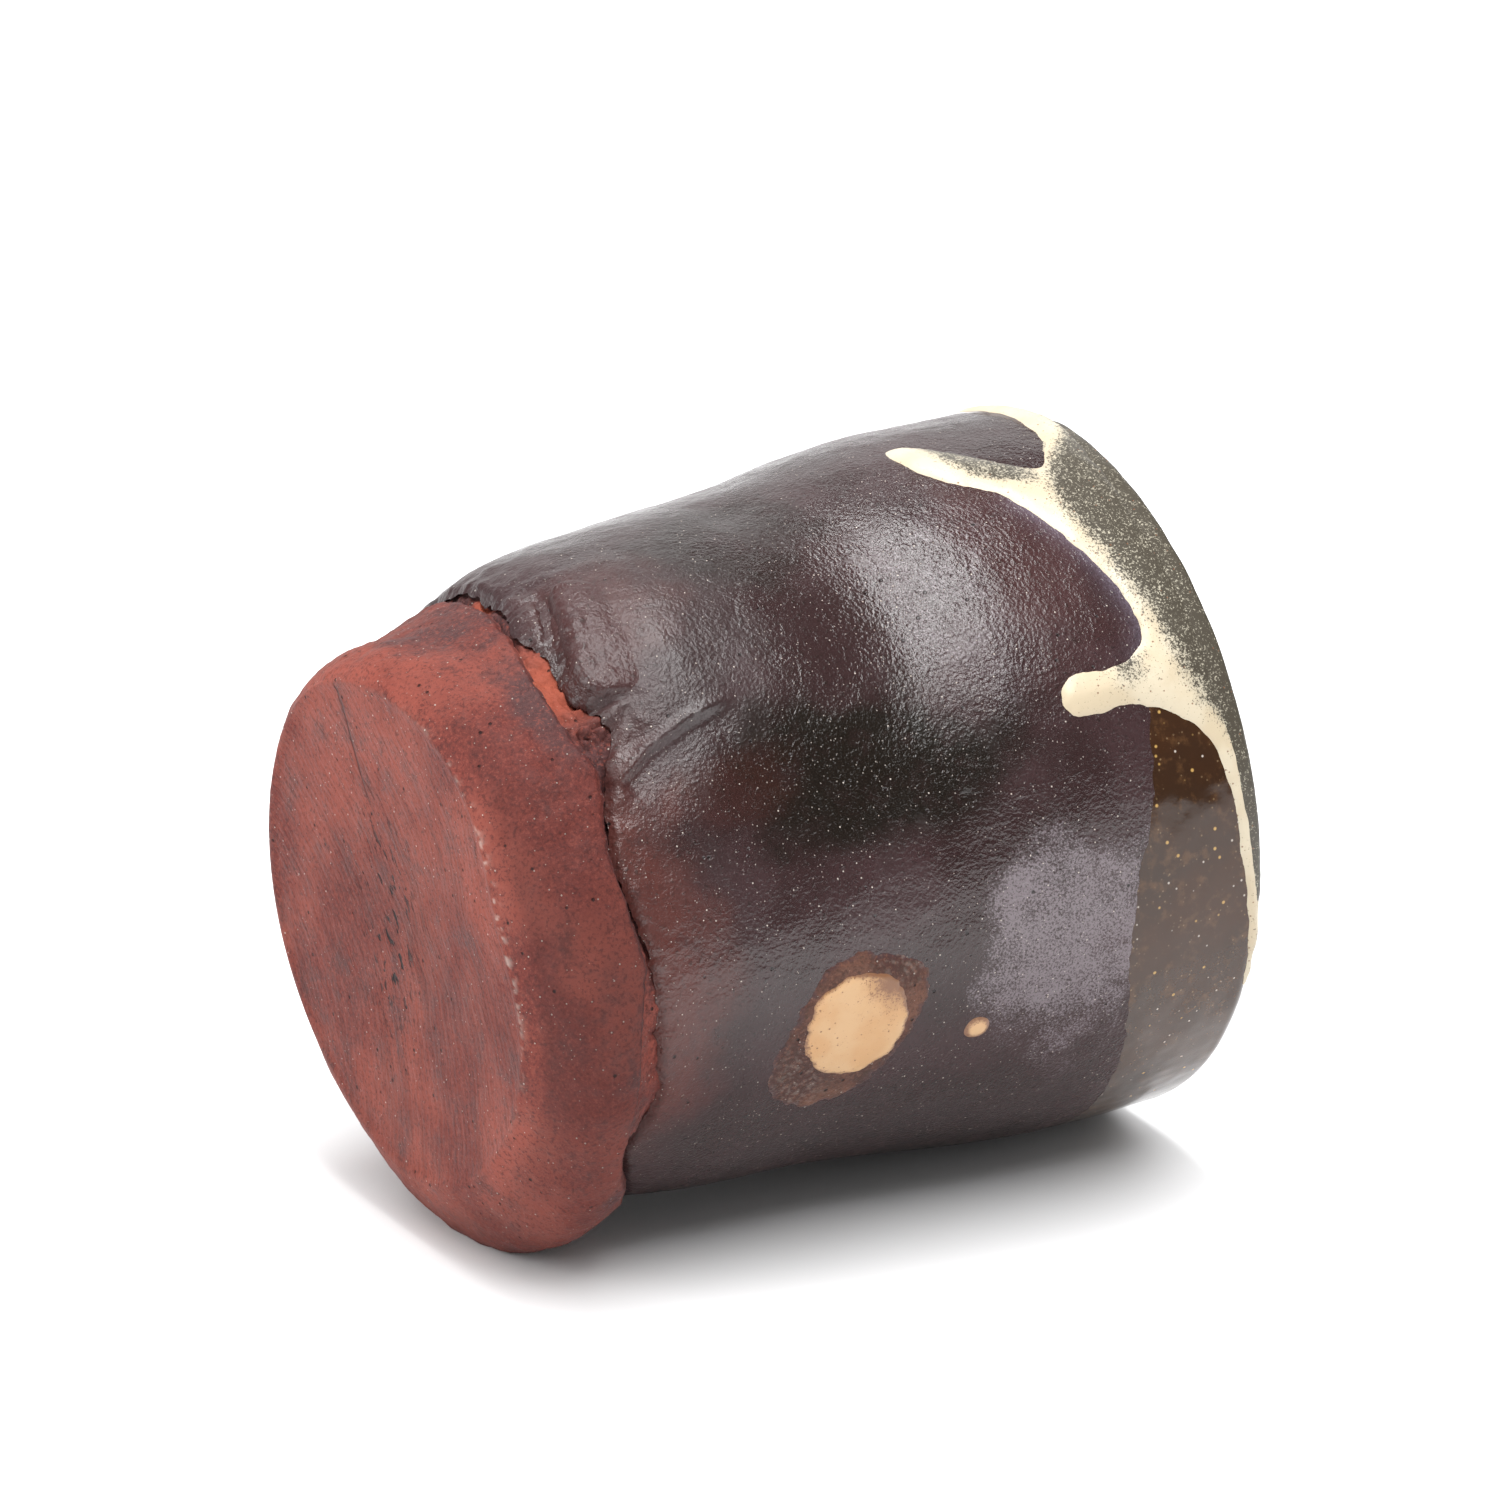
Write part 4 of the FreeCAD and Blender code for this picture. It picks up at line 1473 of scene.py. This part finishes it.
@dataclass
class RimGlaze(Piece):
    """The amber glaze from the glaze line over the lip."""

    across: int = 600
    along: int = 84
    lip_depth: float = 1.5
    inside_end: float = 63.0

    def section(self, u: Array, v: Array) -> tuple[Array, Array, Array]:
        """Up the outside, round the lip, down inside and back, open at the hidden lower edge.

        Args:
            u: shares of the way round, 0 to 1.
            v: shares of the way along the section, 0 to 1.

        Returns:
            Turns in degrees, heights and radii in millimetres.
        """
        turn = full_turn(u)
        wall = CupWall(self.form, self.lay)
        low = self.form.glaze_line(turn)
        lip = self.form.height
        shoulder = lip - self.lip_depth
        outer = stretch(v, 0.0, 0.58)
        over = stretch(v, 0.58, 0.82)
        down = stretch(v, 0.82, 0.92)
        back = np.clip((v - 0.92) / 0.08, 0.0, 1.0)
        out = self.form.wall(turn, np.minimum(low + (shoulder - low) * outer, shoulder))
        hole = wall.hollow(turn, np.full_like(turn, shoulder)) - self.form.lining
        middle = (out + hole) / 2
        half = (out - hole) / 2
        angle = over * math.pi
        height = low + (shoulder - low) * outer + self.lip_depth * np.sin(angle)
        radius = np.where(over > 0, middle + half * np.cos(angle), out)
        height = height - (shoulder - self.inside_end) * down
        inside = wall.hollow(turn, height) - self.form.lining
        radius = np.where(down > 0, inside, radius)
        height = height + (low - self.inside_end) * back
        tucked = self.form.wall(turn, height) - self.form.glaze
        bridge = inside + (tucked - inside) * soft_step(back, 0.0, 0.4)
        radius = np.where(back > 0, bridge, radius)
        points = upright(turn, height, radius)
        rough = 0.11 * grain(points, 6.0, 5.0, 3) * (back <= 0)
        wave = 0.10 * np.cos(np.radians(2 * turn + 30)) + 0.06 * np.cos(np.radians(5 * turn))
        height = height + wave * soft_step(height, 62.0, 68.0)
        return turn, height, radius + rough * (1.0 - soft_step(height, 65.0, 68.0) * 0.6)

    def build(self) -> "RimGlaze":
        """Makes the mesh and its marks.

        Returns:
            This piece, built.
        """
        piece = self.wrap("rim_glaze_band", self.across, self.along, self.section)
        self.keep_above(0.0)
        write_mark(piece, "lip", soft_step(self.read("height"), 66.6, 67.6) * 0.9)
        sew(piece)
        return self


@dataclass
class InnerGlaze(Piece):
    """The glaze lining the inside."""

    across: int = 240
    along: int = 90
    top: float = 66.3

    def section(self, u: Array, v: Array) -> tuple[Array, Array, Array]:
        """From the middle of the floor, out and up the wall, then back underneath.

        Args:
            u: shares of the way round, 0 to 1.
            v: shares of the way along the section, 0 to 1.

        Returns:
            Turns in degrees, heights and radii in millimetres.
        """
        turn = full_turn(u)
        wall = CupWall(self.form, self.lay)
        floor = wall.floor + self.form.lining
        out = stretch(v, 0.0, 0.12)
        up = stretch(v, 0.12, 0.50)
        down = stretch(v, 0.52, 0.88)
        home = stretch(v, 0.88, 1.0)
        rise = self.top - floor
        height = floor + rise * up - (rise + self.form.lining) * down
        face = wall.hollow(turn, height) - self.form.lining
        back = wall.hollow(turn, height) + 0.05
        radius = np.where(v < 0.51, face * out, back * (1 - home))
        return turn, height, radius

    def build(self) -> "InnerGlaze":
        """Makes the mesh.

        Returns:
            This piece, built.
        """
        piece = self.wrap("inner_glaze_lining", self.across, self.along, self.section)
        write_mark(piece, "lip", np.zeros(len(piece.data.vertices)))
        sew(piece)
        return self


@dataclass
class GlazePool(Piece):
    """Glaze pooled in the bottom of the inside."""

    across: int = 160
    along: int = 40
    depth: float = 1.4

    def section(self, u: Array, v: Array) -> tuple[Array, Array, Array]:
        """Top face and underside, from middle to middle.

        Args:
            u: shares of the way round, 0 to 1.
            v: shares of the way along the section, 0 to 1.

        Returns:
            Turns in degrees, heights and radii in millimetres.
        """
        turn = full_turn(u)
        wall = CupWall(self.form, self.lay)
        floor = wall.floor + self.form.lining + 0.02
        out = stretch(v, 0.0, 0.5)
        home = stretch(v, 0.5, 1.0)
        edge = wall.hollow(turn, np.full_like(turn, floor + self.depth)) - self.form.lining
        low_edge = wall.hollow(turn, np.full_like(turn, floor)) - self.form.lining
        height = floor + self.depth * (1 - soft_step(home, 0.0, 0.3)) + 0.35 * out**6 * (1 - home)
        radius = np.where(v < 0.5, edge * out, (low_edge + (edge - low_edge) * (1 - home)) * (1 - home))
        return turn, height, radius

    def build(self) -> "GlazePool":
        """Makes the mesh.

        Returns:
            This piece, built.
        """
        piece = self.wrap("glaze_pool_disc", self.across, self.along, self.section)
        write_mark(piece, "lip", np.zeros(len(piece.data.vertices)))
        sew(piece)
        return self


@dataclass
class Patch(Piece):
    """A raised patch of melted ash or skin lying on the glaze."""

    outline: Line = ()
    raised: float = 0.5
    swell: float = 0.9
    radius: float = 31.0
    step: float = 0.22
    margin: float = 1.3
    top: float = 67.6
    trim: float = 0.75
    thickness: float = 0.30
    ragged_edge: float = 0.22
    ragged_size: float = 2.2
    ragged_radius: float = 31.0
    name: str = "patch"

    def smooth_outline(self) -> Array:
        """The outline with its corners cut three times.

        Returns:
            Its points, in millimetres round and up.
        """
        per_degree = math.radians(self.radius)
        line = np.array([(t * per_degree, h) for t, h in self.outline])
        for _ in range(3):
            onward = np.roll(line, -1, axis=0)
            line = np.stack([0.75 * line + 0.25 * onward, 0.25 * line + 0.75 * onward], 1).reshape(-1, 2)
        return line

    def outside(self, turn: Array, height: Array) -> Array:
        """Distance outside the outline in millimetres; inside it is negative.

        Args:
            turn: turns in degrees.
            height: heights in millimetres.

        Returns:
            Signed distances.
        """
        middle = float(np.mean([t for t, _ in self.outline]))
        x = (wrapped(np.asarray(turn, float), middle) + middle) * math.radians(self.radius)
        y = np.asarray(height, float)
        line = self.smooth_outline()
        nearest = np.full(x.shape, 1e9)
        inside = np.zeros(x.shape, bool)
        for (ax, ay), (bx, by) in zip(line, np.roll(line, -1, axis=0)):
            dx, dy = bx - ax, by - ay
            t = np.clip(((x - ax) * dx + (y - ay) * dy) / (dx * dx + dy * dy + 1e-12), 0.0, 1.0)
            nearest = np.minimum(nearest, np.hypot(x - ax - t * dx, y - ay - t * dy))
            crosses = (ay > y) != (by > y)
            inside ^= crosses & (x < (bx - ax) * (y - ay) / (by - ay + 1e-12) + ax)
        return np.where(inside, -nearest, nearest)

    def lift(self, turn: Array, height: Array, outside: Array) -> Array:
        """How far the patch stands off the glaze; below it outside the outline.

        Args:
            turn: turns in degrees; not used here.
            height: heights in millimetres; not used here.
            outside: distances outside the outline in millimetres.

        Returns:
            Millimetres outward.
        """
        dome = self.raised * (1.0 - np.exp(np.minimum(outside, 0.0) / self.swell))
        return np.where(outside < 0, dome, -0.75 * outside)

    def build_patch(self) -> bpy.types.Object:
        """Makes the patch: a wrapped grid, trimmed to the outline and given thickness.

        Returns:
            The patch.
        """
        line = self.smooth_outline()
        per_degree = math.radians(self.radius)
        low = line.min(axis=0) - self.margin
        high = line.max(axis=0) + self.margin
        high[1] = min(high[1], self.top)
        across = int((high[0] - low[0]) / self.step)
        along = int((high[1] - low[1]) / self.step)
        kept: dict[str, Array] = {}

        def section(u: Array, v: Array) -> tuple[Array, Array, Array]:
            """The patch's outer face.

            Args:
                u: shares of the way round, 0 to 1.
                v: shares of the way up, 0 to 1.

            Returns:
                Turns in degrees, heights and radii in millimetres.
            """
            turn = (low[0] + (high[0] - low[0]) * u) / per_degree
            height = low[1] + (high[1] - low[1]) * v
            edge_points = upright(turn, height, np.full_like(turn, self.ragged_radius))
            wobble = grain(edge_points, self.ragged_size, 6.0, 3)
            outside = self.outside(turn, height) + self.ragged_edge * wobble
            points = upright(turn, height, self.form.wall(turn, height))
            base = self.form.wall(turn, height) + 0.11 * grain(points, 6.0, 5.0, 3)
            kept["outside"] = outside
            return turn, height, base + self.lift(turn, height, outside)

        piece = self.wrap(self.name, across, along, section)
        write_mark(piece, "outside", kept["outside"])
        bpy.ops.object.select_all(action="DESELECT")
        piece.select_set(True)
        bpy.context.view_layer.objects.active = piece
        far = kept["outside"] > self.trim
        bpy.ops.object.mode_set(mode="EDIT")
        bpy.ops.mesh.select_all(action="DESELECT")
        bpy.ops.mesh.select_mode(type="VERT")
        bpy.ops.object.mode_set(mode="OBJECT")
        piece.data.vertices.foreach_set("select", far)
        bpy.ops.object.mode_set(mode="EDIT")
        bpy.ops.mesh.delete(type="VERT")
        bpy.ops.mesh.select_all(action="SELECT")
        bpy.ops.mesh.normals_make_consistent(inside=False)
        bpy.ops.object.mode_set(mode="OBJECT")
        centre = np.array(self.lay.foot + self.lay.axis * (self.form.height / 2 * MM))
        normals = np.array([p.normal[:] for p in piece.data.polygons])
        middles = np.array([p.center[:] for p in piece.data.polygons])
        if np.mean(np.einsum("ij,ij->i", normals, middles - centre)) < 0:
            bpy.ops.object.mode_set(mode="EDIT")
            bpy.ops.mesh.select_all(action="SELECT")
            bpy.ops.mesh.flip_normals()
            bpy.ops.object.mode_set(mode="OBJECT")
        thick = piece.modifiers.new("thickness", "SOLIDIFY")
        thick.thickness = self.thickness * MM
        thick.offset = -1.0
        bpy.ops.object.modifier_apply(modifier="thickness")
        bpy.ops.object.shade_smooth()
        return piece


@dataclass
class CreamRun(Patch):
    """The cream ash run below the lip, with its long finger and short drip."""

    name: str = "cream_run_flow"
    raised: float = 0.48
    outline: Line = (
        (-206, 65.4), (-198, 65.0), (-190, 65.1), (-183, 65.1), (-175, 64.5), (-169, 62.8),
        (-166, 61.0), (-170, 58.7), (-175, 56.4), (-180, 54.6), (-184, 52.8), (-183.5, 51.0),
        (-179, 50.7), (-173, 51.3), (-167, 53.1), (-163, 55.9), (-157, 57.1), (-152, 58.2),
        (-147, 59.3), (-142, 60.2), (-136, 60.9), (-131.5, 61.0), (-128.3, 59.8), (-126.6, 57.4),
        (-127.4, 54.4), (-127.0, 52.2), (-124.0, 51.0), (-121.1, 52.1), (-120.5, 54.2),
        (-121.0, 56.8), (-119.6, 59.6), (-117.3, 61.9), (-113.0, 64.2), (-107, 65.1),
        (-100, 65.5), (-92, 65.7), (-84, 66.4), (-74, 67.0), (-66, 67.2), (-74, 67.6),
        (-84, 67.3), (-94, 66.9), (-104, 66.5), (-114, 66.2), (-124, 66.1), (-136, 66.1),
        (-148, 66.2), (-158, 66.2), (-166, 66.6), (-174, 67.3), (-186, 67.5), (-198, 67.2),
        (-207, 66.6),
    )
    core_edge: Line = (
        (-210, 66.6), (-190, 66.8), (-176, 65.8), (-168, 61.9), (-160, 59.2), (-150, 59.5), (-140, 60.5),
        (-132, 61.5), (-124, 62.3), (-118, 63.5), (-112, 65.6), (-100, 66.6), (-90, 67.0), (-80, 67.3),
        (-66, 67.5),
    )
    finger_edge: Line = (
        (-190, 51.0), (-184, 51.0), (-180, 51.4), (-173, 51.6), (-167, 53.2), (-163, 56.1),
        (-157, 57.1), (-150, 58.8),
    )

    def build(self) -> "CreamRun":
        """Makes the mesh and its marks.

        Returns:
            This piece, built.
        """
        piece = self.build_patch()
        turn, height = self.read("turn"), self.read("height")
        around = wrapped(turn, -140.0) - 140.0
        to_lip = soft_step(height - soft_line(around, *zip(*self.core_edge)), -1.2, 2.9)
        above = height - soft_line(around, *zip(*self.finger_edge))
        finger = 1.0 - soft_step(around, -166.0, -159.0)
        thin = 0.85 * soft_step(above, 1.0, 3.2) * finger * (1.0 - soft_step(height, 59.0, 62.0))
        stem = 0.72 * turn_bell(turn, -126.5, 3.6) * bell(height, 58.2, 2.2)
        write_mark(piece, "fade", np.maximum(np.maximum(to_lip, thin), stem))
        return self


@dataclass
class AshFilm(Patch):
    """The speckled grey-green film between the run and the lip."""

    name: str = "ash_film_band"
    raised: float = 0.16
    swell: float = 0.5
    outline: Line = (
        (-182, 67.2), (-176, 64.6), (-168, 62.4), (-156, 62.0), (-144, 62.8), (-132, 63.2),
        (-120, 63.4), (-112, 64.9), (-102, 65.9), (-90, 66.4), (-80, 67.0), (-90, 67.7),
        (-110, 67.8), (-130, 67.8), (-150, 67.8), (-168, 67.8), (-178, 67.8),
    )

    def build(self) -> "AshFilm":
        """Makes the mesh and its marks.

        Returns:
            This piece, built.
        """
        piece = self.build_patch()
        height = self.read("height")
        write_mark(piece, "fade", 0.55 + 0.55 * soft_step(height, 62.5, 67.6))
        return self


@dataclass
class CreamSpot(Patch):
    """One cream spot of ash on the dark glaze."""

    raised: float = 0.34
    radius: float = 29.0
    step: float = 0.14
    swell: float = 0.5
    ragged_edge: float = 0.30
    ragged_size: float = 1.2

    def build(self) -> "CreamSpot":
        """Makes the mesh and its marks.

        Returns:
            This piece, built.
        """
        piece = self.build_patch()
        turn, height, outside = self.read("turn"), self.read("height"), self.read("outside")
        scorched = turn_bell(turn, -86.5, 6.0) * bell(height, 32.6, 2.4)
        edge = 0.85 * soft_step(outside, -0.75, 0.0)
        write_mark(piece, "fade", np.clip(1.1 * scorched + edge, 0.0, 1.0))
        return self


@dataclass
class SpotHalo(Patch):
    """The brown scorched ring round the large spot."""

    name: str = "spot_halo_ring"
    raised: float = 0.10
    radius: float = 29.0
    step: float = 0.16
    swell: float = 0.3
    ragged_edge: float = 0.42
    ragged_size: float = 1.3
    outline: Line = (
        (-91, 27.0), (-91, 31.0), (-88, 35.0), (-83, 36.0), (-76, 34.9), (-70, 33.4),
        (-63, 31.0), (-59, 27.6), (-61, 23.6), (-67, 21.2), (-73, 21.4), (-79, 22.9), (-86, 24.3),
    )

    def build(self) -> "SpotHalo":
        """Makes the mesh and its marks.

        Returns:
            This piece, built.
        """
        piece = self.build_patch()
        turn, height, outside = self.read("turn"), self.read("height"), self.read("outside")
        low_end = turn_bell(turn, -66.0, 9.0) * bell(height, 24.0, 2.6)
        high_end = turn_bell(turn, -90.0, 6.0) * bell(height, 33.5, 2.6)
        points = read_places(piece) / MM
        flecks = soft_step(grain(points, 0.45, 7.0), 0.02, 0.45)
        rim = soft_step(outside + 0.3 * grain(points, 0.8, 2.0), -0.9, 0.1)
        write_mark(piece, "blush_and_painted_shade", 0.75 * rim)
        write_mark(piece, "worn", 0.15 * flecks * np.maximum(low_end, high_end))
        return self


@dataclass
class ClayFlap(Patch):
    """A torn skin of clay folded over the seam."""

    name: str = "clay_flap_skin"
    raised: float = 1.10
    radius: float = 28.0
    step: float = 0.16
    swell: float = 0.20
    outline: Line = (
        (-177, 15.6), (-171, 14.4), (-165, 13.4), (-158, 12.4), (-152, 11.9), (-148.5, 12.6),
        (-147.2, 15.0), (-147.5, 18.0), (-152, 20.5), (-160, 21.0), (-168, 20.4), (-175, 18.4),
    )
    # Its silvery share is a painted sheen on the lump.
    marks: tuple[tuple[str, float], ...] = (
        ("crystals_and_painted_sheen", 0.12), ("red", 0.30), ("olive", 0.0), ("matte", 0.35), ("violet", 0.0),
        ("gloss", 0.6),
    )

    def lift(self, turn: Array, height: Array, outside: Array) -> Array:
        """A sharp edge over the seam that fades into the wall behind.

        Args:
            turn: turns in degrees.
            height: heights in millimetres.
            outside: distances outside the outline in millimetres.

        Returns:
            Millimetres outward.
        """
        dome = self.raised * (1.0 - np.exp(np.minimum(outside, 0.0) / self.swell))
        fade = 1.0 - soft_step(height + 0.10 * wrapped(turn, -150.0), 12.0, 18.5)
        points = upright(turn, height, np.full_like(height, self.radius))
        crumple = 0.20 * grain(points, 1.7, 21.0, 4)
        inside = (dome + crumple) * fade - 0.25 * (1.0 - fade)
        return np.where(outside < 0, inside, -0.9 * outside)

    def build(self) -> "ClayFlap":
        """Makes the mesh and its marks.

        Returns:
            This piece, built.
        """
        piece = self.build_patch()
        count = len(piece.data.vertices)
        for name, value in self.marks:
            write_mark(piece, name, np.full(count, value))
        return self


# ---- the studio --------------------------------------------------------------------


@dataclass(frozen=True)
class Lamp:
    """A soft rectangular lamp: sizes in metres, power in watts."""

    name: str
    place: tuple[float, float, float]
    aim: tuple[float, float, float]
    size: tuple[float, float]
    power: float
    mirrored: bool = True

    def build(self) -> None:
        """Puts the lamp up."""
        data = bpy.data.lights.new(self.name, "AREA")
        data.shape = "RECTANGLE"
        data.size, data.size_y = self.size
        data.energy = self.power
        lamp = bpy.data.objects.new(self.name, data)
        bpy.context.scene.collection.objects.link(lamp)
        lamp.location = self.place
        toward = Vector(self.aim) - Vector(self.place)
        lamp.rotation_euler = toward.to_track_quat("-Z", "Y").to_euler()
        lamp.visible_glossy = self.mirrored


@dataclass(frozen=True)
class Studio:
    """White table, soft lights and the camera."""

    camera_turn: float = -30.775
    camera_rise: float = 21.088
    camera_distance: float = 0.900
    camera_aside: float = 0.000852
    camera_lift: float = 0.009306
    lens: float = 249.33
    aim_height: float = 0.02839
    film_width: float = 36.0
    table_size: float = 24.0
    table_white: tuple[float, float, float] = (0.76, 0.76, 0.765)
    soft_light: float = 0.52
    mirrored_light: float = 0.045
    seen_light: float = 1.0
    lamps: tuple[Lamp, ...] = (
        Lamp("over_lamp", (-0.02, -0.10, 1.10), (0.0, 0.0, 0.0), (0.30, 1.56), 15.0),
        Lamp("left_lamp", (-1.00, 0.20, 0.50), (0.0, 0.0, 0.03), (0.5, 0.7), 7.0),
        Lamp("back_card", (1.25, 2.10, 0.85), (0.0, 0.0, 0.05), (3.2, 1.5), 15.0),
        Lamp("wide_lamp", (0.5, -0.5, 3.0), (0.5, -0.5, 0.0), (5.0, 5.0), 168.0, mirrored=False),
    )

    def floor(self) -> None:
        """A wide white table top."""
        bpy.ops.object.select_all(action="DESELECT")
        bpy.ops.mesh.primitive_plane_add(size=self.table_size, location=(0, 0, 0))
        plane = bpy.context.active_object
        plane.name = "table_top"
        b = Bench("table_white")
        b.shader.inputs["Base Color"].default_value = (*self.table_white, 1.0)
        b.shader.inputs["Roughness"].default_value = 0.75
        b.shader.inputs["Specular IOR Level"].default_value = 0.2
        plane.data.materials.append(b.material)

    def lights(self) -> None:
        """A long lamp overhead, a side lamp for the foot, a card behind and a wide lamp above."""
        for lamp in self.lamps:
            lamp.build()

    def world(self) -> None:
        """White for the eye, bright for soft light and dim for what the cup mirrors."""
        world = bpy.data.worlds.new("studio")
        bpy.context.scene.world = world
        world.use_nodes = True
        tree = world.node_tree
        tree.nodes.clear()
        out = tree.nodes.new("ShaderNodeOutputWorld")
        path = tree.nodes.new("ShaderNodeLightPath")
        last = None
        rays = (
            (None, self.soft_light),
            ("Is Glossy Ray", self.mirrored_light),
            ("Is Camera Ray", self.seen_light),
        )
        for ray, light in rays:
            shade = tree.nodes.new("ShaderNodeBackground")
            shade.inputs["Color"].default_value = (light, light, light, 1)
            if ray is None:
                last = shade.outputs[0]
                continue
            mix = tree.nodes.new("ShaderNodeMixShader")
            tree.links.new(path.outputs[ray], mix.inputs["Fac"])
            tree.links.new(last, mix.inputs[1])
            tree.links.new(shade.outputs[0], mix.inputs[2])
            last = mix.outputs[0]
        tree.links.new(last, out.inputs["Surface"])

    def camera(self) -> None:
        """A long lens looking down a little at the cup."""
        turn = math.radians(self.camera_turn)
        rise = math.radians(self.camera_rise)
        level = math.cos(rise)
        back = Vector((math.sin(turn) * level, -math.cos(turn) * level, math.sin(rise)))
        right = Vector((math.cos(turn), math.sin(turn), 0.0))
        up = back.cross(right)
        data = bpy.data.cameras.new("camera")
        data.lens = self.lens
        data.sensor_width = self.film_width
        data.clip_end = 50.0
        camera = bpy.data.objects.new("camera", data)
        bpy.context.scene.collection.objects.link(camera)
        aim = Vector((0.0, 0.0, self.aim_height)) + right * self.camera_aside + up * self.camera_lift
        camera.location = aim + back * self.camera_distance
        camera.rotation_euler = (-back).to_track_quat("-Z", "Y").to_euler()
        bpy.context.scene.camera = camera

    def look(self) -> None:
        """Plain colours, as they are lit."""
        view = bpy.context.scene.view_settings
        view.view_transform = "Standard"
        view.look = "None"
        view.exposure = 0.0

    def build(self) -> None:
        """Sets the whole studio up."""
        self.floor()
        self.lights()
        self.world()
        self.camera()
        self.look()


BIG_SPOT: Line = (
    (-88.0, 27.2), (-88.0, 31.2), (-83.5, 33.4), (-77.0, 34.2), (-70.5, 33.2), (-66.0, 30.4),
    (-67.0, 26.8), (-71.5, 24.4), (-78.0, 23.9), (-84.5, 24.9),
)
SMALL_SPOT: Line = (
    (-73.9, 39.9), (-73.9, 41.4), (-71.9, 42.0), (-69.8, 41.4), (-69.6, 40.0), (-71.6, 39.3),
)


def main() -> None:
    """Builds the cup piece by piece and sets up the studio."""
    form = CupForm()
    lay = Lay.from_record(frame["record"])
    clay = (Tint.RED_CLAY, Tint.RED_CLAY_LIGHT, Tint.RED_CLAY_DARK)
    hidden_clay = (Tint.RED_CLAY_DARK, Tint.RED_CLAY, Tint.RED_CLAY_DARK)
    scorch = (Tint.HALO, Tint.HALO_LIGHT, Tint.LIP_BROWN)
    pure_ash = (Tint.CREAM, Tint.CREAM_PALE, Tint.ASH_GREY, Tint.ASH_BLACK)
    thin_ash = (Tint.CREAM, Tint.ASH_GREY, Tint.ASH_GREY, Tint.ASH_BLACK)
    warm_ash = (Tint.PEACH, Tint.PEACH_PALE, Tint.PEACH_DARK, Tint.PEACH_DARK)
    red_clay = RawClayFinish("foot_red_clay", *clay, cut_face=True).make()
    torn_clay = RawClayFinish("torn_seam_clay", *clay, roughness=0.75).make()
    wall_clay = RawClayFinish("wall_clay", *hidden_clay, roughness=0.7).make()
    halo = RawClayFinish("halo_scorch", *scorch, roughness=0.42).make()
    iron = IronGlazeFinish("dark_iron_glaze").make()
    amber = AmberGlazeFinish("amber_rim_glaze").make()
    lining = AmberGlazeFinish("inner_brown_glaze", flecks=False).make()
    cream = AshGlazeFinish("cream_ash", *pure_ash).make()
    film = AshGlazeFinish("grey_ash_film", *thin_ash).make()
    peach = AshGlazeFinish("peach_ash", *warm_ash).make()

    FootBlock(form, lay).build().dress(red_clay, "foot_clay", "foot_block")
    SeamCoil(form, lay).build().dress(torn_clay, "seam_clay", "seam_coil")
    CupWall(form, lay).build().dress(wall_clay, "wall_clay", "cup_wall")
    BodyGlaze(form, lay).build().dress(iron, "body_glaze", "body_glaze")
    ClayFlap(form, lay).build().dress(iron, "flap_clay", "clay_flap")
    RimGlaze(form, lay).build().dress(amber, "rim_glaze", "rim_glaze")
    InnerGlaze(form, lay).build().dress(lining, "inner_glaze", "inner_glaze")
    GlazePool(form, lay).build().dress(lining, "glaze_pool", "glaze_pool")
    CreamRun(form, lay).build().dress(cream, "ash_run", "cream_run")
    AshFilm(form, lay).build().dress(film, "ash_film", "ash_film")
    large = CreamSpot(form, lay, outline=BIG_SPOT, name="cream_spot_large_drop")
    large.build().dress(peach, "spot_cream", "cream_spot_large")
    small = CreamSpot(form, lay, outline=SMALL_SPOT, name="cream_spot_small_drop", ragged_edge=0.05)
    small.build().dress(peach, "spot_cream", "cream_spot_small")
    SpotHalo(form, lay).build().dress(halo, "spot_halo", "spot_halo")

    Studio().build()


if __name__ == "__main__":
    main()
